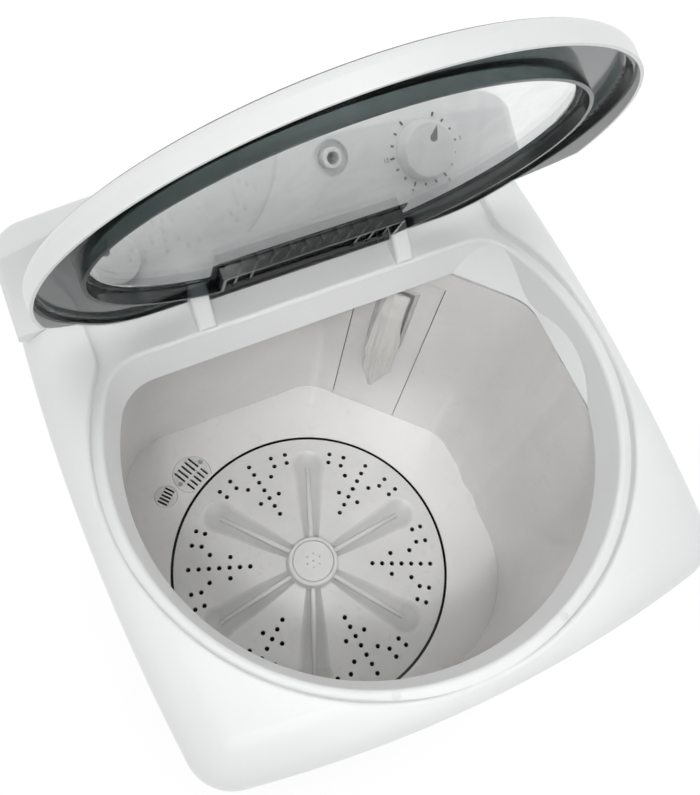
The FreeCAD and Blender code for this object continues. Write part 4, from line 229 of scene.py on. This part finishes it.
def moulded(name, dark, light, rough, grain_mm, drift_mm, scuff=None, scuff_mm=30.0, grain_deep=0.02,
            soft_shade=None, deep_shade=None):
    """Moulded plastic: two near shades over the wall, a fine grain, any scuffs, and any painted shade in its
    hollows.
    """
    material, tree = new_material(name)
    place = add(tree, "ShaderNodeTexCoord").outputs["Object"]
    drift = add(tree, "ShaderNodeTexNoise", {"Scale": 1 / (drift_mm * MM), "Detail": 3.0}, {"Vector": place})
    shades = add(tree, "ShaderNodeValToRGB", {"stops": ((SHADE_LOW, dark), (SHADE_HIGH, light))},
                 {"Fac": drift.outputs["Fac"]})
    colour = shades.outputs["Color"]
    covers = []
    if scuff:
        rubs = add(tree, "ShaderNodeTexNoise",
                   {"Scale": 1 / (scuff_mm * MM), "Detail": 6.0, "Distortion": 0.6}, {"Vector": place})
        rubbed = add(tree, "ShaderNodeMapRange", {"From Min": RUB_LOW, "From Max": RUB_HIGH},
                     {"Value": rubs.outputs["Fac"]})
        covers.append((rubbed.outputs["Result"], scuff))
    # Painted shade over the colour: light grey down in the pulsator's petals, near black in its jets and
    # below the tub's floor
    if soft_shade:
        covers.append((soft_shade(tree, place), SOFT_SHADE_COLOUR))
    if deep_shade:
        covers.append((deep_shade(tree, place), DEEP_SHADE_COLOUR))
    for share, cover in covers:
        over = add(tree, "ShaderNodeMix", {"data_type": "RGBA", MIX_OVER: linear(cover)},
                   {MIX_SHARE: share, MIX_UNDER: colour})
        colour = over.outputs[MIX_RESULT]
    grain = add(tree, "ShaderNodeTexNoise", {"Scale": 1 / (grain_mm * MM), "Detail": 2.0}, {"Vector": place})
    gloss = add(tree, "ShaderNodeMapRange",
                {"To Min": rough * PLASTIC_GLOSS[0], "To Max": rough * PLASTIC_GLOSS[1]},
                {"Value": grain.outputs["Fac"]})
    relief = add(tree, "ShaderNodeBump", {"Strength": 0.4, "Distance": grain_deep * MM},
                 {"Height": grain.outputs["Fac"]})
    shader = add(tree, "ShaderNodeBsdfPrincipled", {"IOR": PLASTIC_IOR},
                 {"Base Color": colour, "Roughness": gloss.outputs["Result"],
                  "Normal": relief.outputs["Normal"]})
    add(tree, "ShaderNodeOutputMaterial", {}, {"Surface": shader.outputs["BSDF"]})
    return material


def bare_metal(name, dark, light, rough, grain_mm, stretch, grain_deep):
    """Bare metal: grain drawn out along the piece by stretch, which shows in its colour, gloss and relief."""
    material, tree = new_material(name)
    place = add(tree, "ShaderNodeTexCoord").outputs["Object"]
    drawn = add(tree, "ShaderNodeMapping", {"Scale": (1.0, 1.0, 1.0 / stretch)}, {"Vector": place})
    grain = add(tree, "ShaderNodeTexNoise", {"Scale": 1 / (grain_mm * MM), "Detail": 4.0},
                {"Vector": drawn.outputs["Vector"]})
    shades = add(tree, "ShaderNodeValToRGB", {"stops": ((SHADE_LOW, dark), (SHADE_HIGH, light))},
                 {"Fac": grain.outputs["Fac"]})
    gloss = add(tree, "ShaderNodeMapRange",
                {"To Min": rough * METAL_GLOSS[0], "To Max": rough * METAL_GLOSS[1]},
                {"Value": grain.outputs["Fac"]})
    relief = add(tree, "ShaderNodeBump", {"Strength": 0.5, "Distance": grain_deep * MM},
                 {"Height": grain.outputs["Fac"]})
    shader = add(tree, "ShaderNodeBsdfPrincipled", {"Metallic": 1.0},
                 {"Base Color": shades.outputs["Color"], "Roughness": gloss.outputs["Result"],
                  "Normal": relief.outputs["Normal"]})
    add(tree, "ShaderNodeOutputMaterial", {}, {"Surface": shader.outputs["BSDF"]})
    return material


def see_through(name, dark, light, haze_mm, detail, swirl, rough, ior, tint, density):
    """See-through plastic: faint haze in its colour and gloss, and a tint that deepens where it is thick."""
    material, tree = new_material(name)
    place = add(tree, "ShaderNodeTexCoord").outputs["Object"]
    haze = add(tree, "ShaderNodeTexNoise",
               {"Scale": 1 / (haze_mm * MM), "Detail": detail, "Distortion": swirl}, {"Vector": place})
    shades = add(tree, "ShaderNodeValToRGB", {"stops": ((SHADE_LOW, dark), (SHADE_HIGH, light))},
                 {"Fac": haze.outputs["Fac"]})
    gloss = add(tree, "ShaderNodeMapRange", {"To Min": rough[0], "To Max": rough[1]},
                {"Value": haze.outputs["Fac"]})
    shader = add(tree, "ShaderNodeBsdfPrincipled", {"IOR": ior, "Transmission Weight": 1.0},
                 {"Base Color": shades.outputs["Color"], "Roughness": gloss.outputs["Result"]})
    inside = add(tree, "ShaderNodeVolumeAbsorption", {"Color": linear(tint), "Density": density})
    add(tree, "ShaderNodeOutputMaterial", {},
        {"Surface": shader.outputs["BSDF"], "Volume": inside.outputs["Volume"]})
    return material


def paint(material, *names):
    """One material on each of the named pieces."""
    for name in names:
        piece = nodes[name]
        piece.data.materials.clear()
        piece.data.materials.append(material)


# White polypropylene, moulded in a lightly textured tool: satin, with soft broad highlights
white_plastic = moulded("white_polypropylene", "ebecec", "eeefef", rough=0.34, grain_mm=1.2, drift_mm=140.0)
# Tub polypropylene, moulded in a polished tool: glossier, with faint rubs and dark painted shade under its
# floor
tub_plastic = moulded("polished_tub_polypropylene", "f1f0ef", "f5f4f3", rough=0.13, grain_mm=2.0,
                      drift_mm=90.0, scuff="eeedeb", scuff_mm=14.0, deep_shade=under_floor)
# Pulsator polypropylene: softer sheen than the tub, faint rubs, and painted shade, greyer in its petals and
# dark in its jets
pulsator_plastic = moulded("pulsator_polypropylene", "e2e2e1", "e9e9e8", rough=0.34, grain_mm=1.5,
                           drift_mm=60.0, scuff="dfdedc", scuff_mm=9.0, soft_shade=in_petals, deep_shade=in_jets)
# Grille polypropylene, in the tub's colour: satin, with dark painted shade down in its slots
grille_plastic = moulded("grille_polypropylene", "e4e4e3", "ebebea", rough=0.32, grain_mm=1.0,
                         drift_mm=25.0, deep_shade=under_floor)
# Light grey polypropylene of the filter's frame: matt and slightly yellowed
frame_plastic = moulded("light_grey_polypropylene", "d3d2cf", "dedddb", rough=0.36, grain_mm=1.0,
                        drift_mm=25.0)
# Mid grey polypropylene of the hidden mouldings and the base: dull, with flow marks
grey_plastic = moulded("grey_polypropylene", "878a8d", "8d9093", rough=0.5, grain_mm=1.0, drift_mm=45.0)
# Charcoal pointers, moulded and pressed in: dark and dull
pointer_plastic = moulded("charcoal_polypropylene", "5c5d5e", "686a6b", rough=0.42, grain_mm=0.8,
                          drift_mm=6.0)
# White silicone pads: soft, no sharp highlight
pad_silicone = moulded("white_silicone_rubber", "dedfdf", "e6e7e7", rough=0.6, grain_mm=0.8, drift_mm=9.0)
# Black nitrile rubber: matt, dusty grey in patches
rubber = moulded("black_nitrile_rubber", "191919", "232323", rough=0.68, grain_mm=0.9, drift_mm=12.0,
                 scuff="3a3a38", scuff_mm=9.0)
# Black baked enamel on the motor and capacitor: smooth and glossy with a slight orange peel
enamel = moulded("black_baked_enamel", "1f2022", "27282a", rough=0.24, grain_mm=2.5, drift_mm=40.0,
                 grain_deep=0.05)
# White powder-coated sheet steel of the back cover: even, with a fine orange peel
powder_coat = moulded("white_powder_coat", "e3e5e5", "e7e9e9", rough=0.4, grain_mm=1.8, drift_mm=120.0,
                      grain_deep=0.06)
# Zinc-plated steel: cool, with fine drawn lines
zinc_steel = bare_metal("zinc_plated_steel", "a2a6aa", "c6cacd", rough=0.34, grain_mm=0.8, stretch=12.0,
                        grain_deep=0.01)
# Die-cast aluminium: pale and grainy
cast_aluminium = bare_metal("cast_aluminium", "9b9d9f", "b9bbbc", rough=0.52, grain_mm=1.6, stretch=1.0,
                            grain_deep=0.08)
# Sintered bronze: brown-gold and porous
bronze = bare_metal("sintered_bronze", "7d5b35", "a37c4b", rough=0.45, grain_mm=0.7, stretch=1.0,
                    grain_deep=0.04)
# Smoked polystyrene, moulded and polished: grey where it is thin, blue-green and near black along its edges
smoke = see_through("smoked_polystyrene", "eef1f1", "f8f9f9", haze_mm=18.0, detail=3.0, swirl=0.0,
                    rough=(0.05, 0.14), ior=1.59, tint="005550", density=620.0)
# Clear polystyrene window, moulded: it reflects little, and has a slight grey cast and wiping haze
clear = see_through("clear_polystyrene", "f3f5f5", "fbfcfc", haze_mm=30.0, detail=5.0, swirl=1.5,
                    rough=(0.0, 0.05), ior=1.12, tint="959999", density=12.0)

# Screen-printed grey ink: flat and slightly broken, as ink is on textured plastic
ink, tree = new_material("screen_printed_ink")
place = add(tree, "ShaderNodeTexCoord").outputs["Object"]
breaks = add(tree, "ShaderNodeTexNoise", {"Scale": 1 / (1.2 * MM), "Detail": 3.0}, {"Vector": place})
shades = add(tree, "ShaderNodeValToRGB", {"stops": ((0.4, "48494a"), (0.75, "636465"))},
             {"Fac": breaks.outputs["Fac"]})
shader = add(tree, "ShaderNodeBsdfPrincipled", {"Roughness": 0.55}, {"Base Color": shades.outputs["Color"]})
add(tree, "ShaderNodeOutputMaterial", {}, {"Surface": shader.outputs["BSDF"]})

# Knitted nylon net: off-white loops 1.6 mm apart, drawn coarser than the real 0.8 mm so that they show
net, tree = new_material("knitted_nylon_net")
thread_map = add(tree, "ShaderNodeUVMap", {"uv_map": "thread"}).outputs["UV"]
knit = {"Scale": math.pi / 10 / (NET_PITCH * MM), "Distortion": 1.2, "Detail Scale": 2.0}
wales = add(tree, "ShaderNodeTexWave", {**knit, "bands_direction": "X"}, {"Vector": thread_map})
courses = add(tree, "ShaderNodeTexWave", {**knit, "bands_direction": "Y"}, {"Vector": thread_map})
loops = add(tree, "ShaderNodeMath", {"operation": "MULTIPLY"},
            {0: wales.outputs["Fac"], 1: courses.outputs["Fac"]})
thread = add(tree, "ShaderNodeValToRGB", {"stops": ((0.1, "e6e4e0"), (0.7, "f7f6f3"))},
             {"Fac": loops.outputs["Value"]})
relief = add(tree, "ShaderNodeBump", {"Strength": 0.5, "Distance": 0.3 * MM},
             {"Height": loops.outputs["Value"]})
shader = add(tree, "ShaderNodeBsdfPrincipled",
             {"Roughness": 0.8, "Sheen Weight": 0.25, "Sheen Roughness": 0.5},
             {"Base Color": thread.outputs["Color"], "Normal": relief.outputs["Normal"]})
add(tree, "ShaderNodeOutputMaterial", {}, {"Surface": shader.outputs["BSDF"]})

paint(white_plastic, "top_deck", "control_console", "cabinet_shell", "hinge_arm_left", "hinge_arm_right",
      "timer_knob", "drain_knob", "lid_rim", "water_inlet")
paint(tub_plastic, "wash_tub", "filter_channel_cover")
paint(pulsator_plastic, "pulsator", "pulsator_cap")
paint(grille_plastic, "drain_grille", "bleed_grille")
paint(frame_plastic, "lint_filter_frame")
paint(grey_plastic, "base_frame", "inlet_chute", "timer_body", "spindle_bush", "driven_pulley", "drain_sump",
      "drain_valve_body", "valve_cap", "drain_outlet", "valve_plunger", "pull_strap")
paint(pointer_plastic, "timer_pointer", "drain_pointer")
paint(pad_silicone, "lid_buffers")
paint(rubber, "feet", "cord_gland", "shaft_seal", "motor_grommets", "valve_seal", "drive_belt")
paint(enamel, "motor_body", "run_capacitor")
paint(powder_coat, "rear_cover")
paint(zinc_steel, "rear_cover_screws", "deck_screws", "timer_screws", "drain_grille_screws", "housing_bolts",
      "motor_bolts", "motor_bracket", "motor_rotor", "drive_pulley", "pulsator_shaft", "pulsator_screw",
      "pulley_nut", "timer_spindle", "drain_spindle", "valve_spring", "lid_hinge_pins")
paint(cast_aluminium, "bearing_housing")
paint(bronze, "shaft_bushes")
paint(smoke, "lid_frame")
paint(clear, "lid_window")


def on_console(x, y):
    """Place on the console's face: x across it, y up it and z out of it."""
    z = CONSOLE_FRONT_Z + (y - CONSOLE_FRONT_Y) * math.tan(CONSOLE_SLOPE)
    return Matrix.Translation(Vector((x, y, z)) * MM) @ Matrix.Rotation(CONSOLE_SLOPE, 4, "X")


def printed_tick(length):
    """Bar of ink with rounded ends, lying along x from the scale's inner circle."""
    bpy.ops.object.select_all(action="DESELECT")
    middle = (TICK_INNER + length / 2) * MM
    bpy.ops.mesh.primitive_cube_add(size=1.0, location=(middle, 0, INK_THICK / 2 * MM))
    tick = bpy.context.object
    tick.scale = (length * MM, TICK_WIDTH * MM, INK_THICK * MM)
    bpy.ops.object.transform_apply(location=True, rotation=True, scale=True)
    for edge in tick.data.edges:
        a, b = (tick.data.vertices[i].co for i in edge.vertices)
        edge.select = abs(a.z - b.z) > INK_THICK / 2 * MM
    bpy.ops.object.mode_set(mode="EDIT")
    bpy.ops.mesh.select_mode(type="EDGE")
    bpy.ops.mesh.bevel(offset=TICK_WIDTH * TICK_ROUND * MM, segments=3)
    bpy.ops.object.mode_set(mode="OBJECT")
    return tick


def printed_digit(text, x, y):
    """Number in ink, upright on the scale's face and centred at a place on it."""
    bpy.ops.object.select_all(action="DESELECT")
    bpy.ops.object.text_add()
    digit = bpy.context.object
    digit.data.body = text
    digit.data.align_x = "CENTER"
    digit.data.align_y = "CENTER"
    digit.data.size = DIGIT_HEIGHT * MM
    digit.data.extrude = INK_THICK / 2 * MM
    bpy.ops.object.convert(target="MESH")
    digit = bpy.context.object
    digit.data.transform(Matrix.Translation((x * MM, y * MM, INK_THICK / 2 * MM)))
    return digit


def timer_scale():
    """Minute marks round the timer, every third one long, with numbers where the face has room for them."""
    long_tick = printed_tick(TICK_LONG)
    short_tick = printed_tick(TICK_SHORT)
    marks = []
    for minute in range(SCALE_MINUTES + 1):
        turn = math.radians(SCALE_START - SCALE_SWEEP * minute / SCALE_MINUTES)
        model = short_tick if minute % SCALE_STEP else long_tick
        mark = model.copy()
        mark.data = model.data.copy()
        mark.data.transform(Matrix.Rotation(turn, 4, "Z"))
        scene.collection.objects.link(mark)
        marks.append(mark)
        if minute % SCALE_STEP == 0 and 0 < minute < SCALE_MINUTES:
            marks.append(printed_digit(str(minute), DIGIT_RING * math.cos(turn), DIGIT_RING * math.sin(turn)))
    for model in (long_tick, short_tick):
        bpy.data.objects.remove(model)
    bpy.ops.object.select_all(action="DESELECT")
    for mark in marks:
        mark.select_set(True)
    bpy.context.view_layer.objects.active = marks[0]
    bpy.ops.object.join()
    scale = bpy.context.object
    scale.data.transform(on_console(TIMER_X, TIMER_Y))
    scale.name = scale.data.name = "timer_scale"
    scale.data.materials.clear()
    scale.data.materials.append(ink)
    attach(scale, "machine_body")


def by_the_wall(x, y, z):
    """From the diagonal wall's own frame, in millimetres, to the machine's, in metres."""
    slant = math.sqrt(0.5)
    return Vector((DIAGONAL / 2 + (x + y) * slant, DIAGONAL / 2 + (y - x) * slant, z)) * MM


def bag_girth(share):
    """Half-width and half-depth of the bag at a share of its height, eased from station to station."""
    for (s0, wide0, deep0), (s1, wide1, deep1) in zip(BAG_STATIONS, BAG_STATIONS[1:]):
        if share <= s1:
            t = (share - s0) / (s1 - s0)
            t = t * t * (3 - 2 * t)
            break
    wide = wide0 + (wide1 - wide0) * t
    deep = deep0 + (deep1 - deep0) * t
    return BAG_HALF_WIDTH * wide, BAG_BULGE / 2 * deep


def bag_wave(form, share):
    """Wave up the bag at a share of its height."""
    size, turn, start = form
    return size * math.sin(turn * share + start)


def bag_ring(share):
    """Points round the bag at a share of its height: folds that wander, pressed flat along the frame."""
    wide, deep = bag_girth(share)
    at_ends, between = BAG_SLACK
    slack = at_ends + between * math.sin(math.pi * min(1.0, share * BAG_SLACK_REACH)) ** BAG_SLACK_EASE
    sway = bag_wave(BAG_SWAY, share)
    wander = sum(bag_wave(form, share) for form in BAG_WANDER)
    z = BAG_LOW_Z + (BAG_HIGH_Z - BAG_LOW_Z) * share
    points = []
    for step in range(BAG_ROUND):
        turn = 2 * math.pi * step / BAG_ROUND
        fold = sum(size * math.sin(count * turn + follow * wander + start)
                   for size, count, follow, start in BAG_FOLDS)
        crease = noise.noise(Vector((math.cos(turn) * BAG_CREASE_ROUND, math.sin(turn) * BAG_CREASE_ROUND,
                                     share * BAG_CREASE_UP)))
        swell = 1 + slack * (fold + BAG_CREASE_SIZE * crease)
        x = BAG_X + sway + wide * swell * math.cos(turn)
        y = BAG_FRONT_Y - deep + deep * swell * math.sin(turn)
        points.append(by_the_wall(x, min(y, BAG_FRONT_Y), z + BAG_CREASE_LIFT * crease))
    return points


def lint_bag():
    """Slack net bag: gathered at its foot and hanging in upright folds from the frame."""
    points, threads, faces = [], [], []
    for ring in range(BAG_RINGS + 1):
        share = ring / BAG_RINGS
        points += bag_ring(share)
        threads += [(step / BAG_ROUND * BAG_CUT[0], share * BAG_CUT[1]) for step in range(BAG_ROUND)]
    for ring in range(BAG_RINGS):
        for step in range(BAG_ROUND):
            beside = (step + 1) % BAG_ROUND
            low, high = ring * BAG_ROUND, (ring + 1) * BAG_ROUND
            faces.append((low + step, low + beside, high + beside, high + step))
    faces.append(tuple(reversed(range(BAG_ROUND))))
    mesh = bpy.data.meshes.new("lint_bag_cloth")
    mesh.from_pydata(points, [], faces)
    uv = mesh.uv_layers.new(name="thread")
    for face in mesh.polygons:
        for corner in face.loop_indices:
            across, along = threads[mesh.loops[corner].vertex_index]
            if across == 0 and face.index % BAG_ROUND == BAG_ROUND - 1:
                across = BAG_CUT[0]
            uv.data[corner].uv = (across, along)
    bag = bpy.data.objects.new("lint_bag_cloth", mesh)
    scene.collection.objects.link(bag)
    bpy.ops.object.select_all(action="DESELECT")
    bag.select_set(True)
    bpy.context.view_layer.objects.active = bag
    bpy.ops.object.mode_set(mode="EDIT")
    bpy.ops.mesh.select_all(action="SELECT")
    bpy.ops.mesh.normals_make_consistent(inside=False)
    bpy.ops.object.mode_set(mode="OBJECT")
    cloth = bag.modifiers.new("cloth", "SOLIDIFY")
    cloth.thickness = BAG_CLOTH_THICK * MM
    cloth.offset = 0.0
    bpy.ops.object.modifier_apply(modifier="cloth")
    bpy.ops.object.shade_smooth()
    bag.data.materials.append(net)
    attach(bag, "lint_filter")
    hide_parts("lint_filter_bag")


timer_scale()
lint_bag()


def looked_at(tree):
    """One for rays from the eye, from gloss and through glass, and nought for the light on the object."""
    path = add(tree, "ShaderNodeLightPath").outputs
    share = path["Is Camera Ray"]
    for ray in ("Is Glossy Ray", "Is Transmission Ray"):
        either = add(tree, "ShaderNodeMath", {"operation": "MAXIMUM"}, {0: share, 1: path[ray]})
        share = either.outputs["Value"]
    return share


# Pale studio floor: it shows white to the eye and in gloss and glass, less the object's soft shadow
floor_mat, tree = new_material("pale_studio_floor")
lit = add(tree, "ShaderNodeBsdfDiffuse", {"Color": linear("eeeeee")})
shadow_catch = add(tree, "ShaderNodeBsdfDiffuse", {"Color": linear("7a7a7a")})
glow = add(tree, "ShaderNodeEmission", {"Color": linear("ffffff"), "Strength": FLOOR_GLOW})
shown = add(tree, "ShaderNodeAddShader", {}, {0: shadow_catch.outputs["BSDF"], 1: glow.outputs["Emission"]})
mix = add(tree, "ShaderNodeMixShader", {},
          {0: looked_at(tree), 1: lit.outputs["BSDF"], 2: shown.outputs["Shader"]})
add(tree, "ShaderNodeOutputMaterial", {}, {"Surface": mix.outputs["Shader"]})
bpy.ops.object.select_all(action="DESELECT")
bpy.ops.mesh.primitive_plane_add(size=FLOOR_SIDE, location=(0, 0, 0))
floor = bpy.context.object
floor.name = "studio_floor"
floor.data.materials.append(floor_mat)

# White room: even light on the object, plain white where it is looked at
world = bpy.data.worlds.new("studio")
scene.world = world
world.use_nodes = True
tree = world.node_tree
tree.nodes.clear()
room = add(tree, "ShaderNodeBackground", {"Color": linear("ffffff"), "Strength": ROOM_LIGHT})
backdrop = add(tree, "ShaderNodeBackground", {"Color": linear("ffffff"), "Strength": BACKDROP_GLOW})
mix = add(tree, "ShaderNodeMixShader", {},
          {0: looked_at(tree), 1: room.outputs["Background"], 2: backdrop.outputs["Background"]})
add(tree, "ShaderNodeOutputWorld", {}, {"Surface": mix.outputs["Shader"]})


def lamp(name, place, aim, size, power, spread=180.0):
    """Round lamp, its place, aim and size in metres, its power in watts and its spread in degrees."""
    light = bpy.data.lights.new(name, "AREA")
    light.spread = math.radians(spread)
    light.shape = "DISK"
    light.size = size
    light.energy = power
    holder = bpy.data.objects.new(name, light)
    scene.collection.objects.link(holder)
    holder.location = place
    holder.rotation_euler = (Vector(aim) - Vector(place)).to_track_quat("-Z", "Y").to_euler()


lamp("overhead_softbox", place=(0.0, -0.25, 5.0), aim=(0, 0, 0.6), size=1.6, power=18)
# Gridded fill from the photographer's side, into the tub
lamp("tub_fill", place=(-0.36, -0.46, 2.1), aim=(0.06, 0.03, 0.56), size=0.2, power=0.2, spread=22.0)

# The photograph's camera, fitted to the mouth, the deck and the pulsator
camera_data = bpy.data.cameras.new("photo_camera")
camera = bpy.data.objects.new("photo_camera", camera_data)
scene.collection.objects.link(camera)
camera_data.sensor_fit = "AUTO"
camera_data.sensor_width = CAMERA_SENSOR
camera_data.lens = CAMERA_LENS
camera_turn = Matrix(CAMERA_AXES).transposed().to_4x4()
camera.matrix_world = Matrix.Translation(CAMERA_PLACE) @ camera_turn
scene.camera = camera
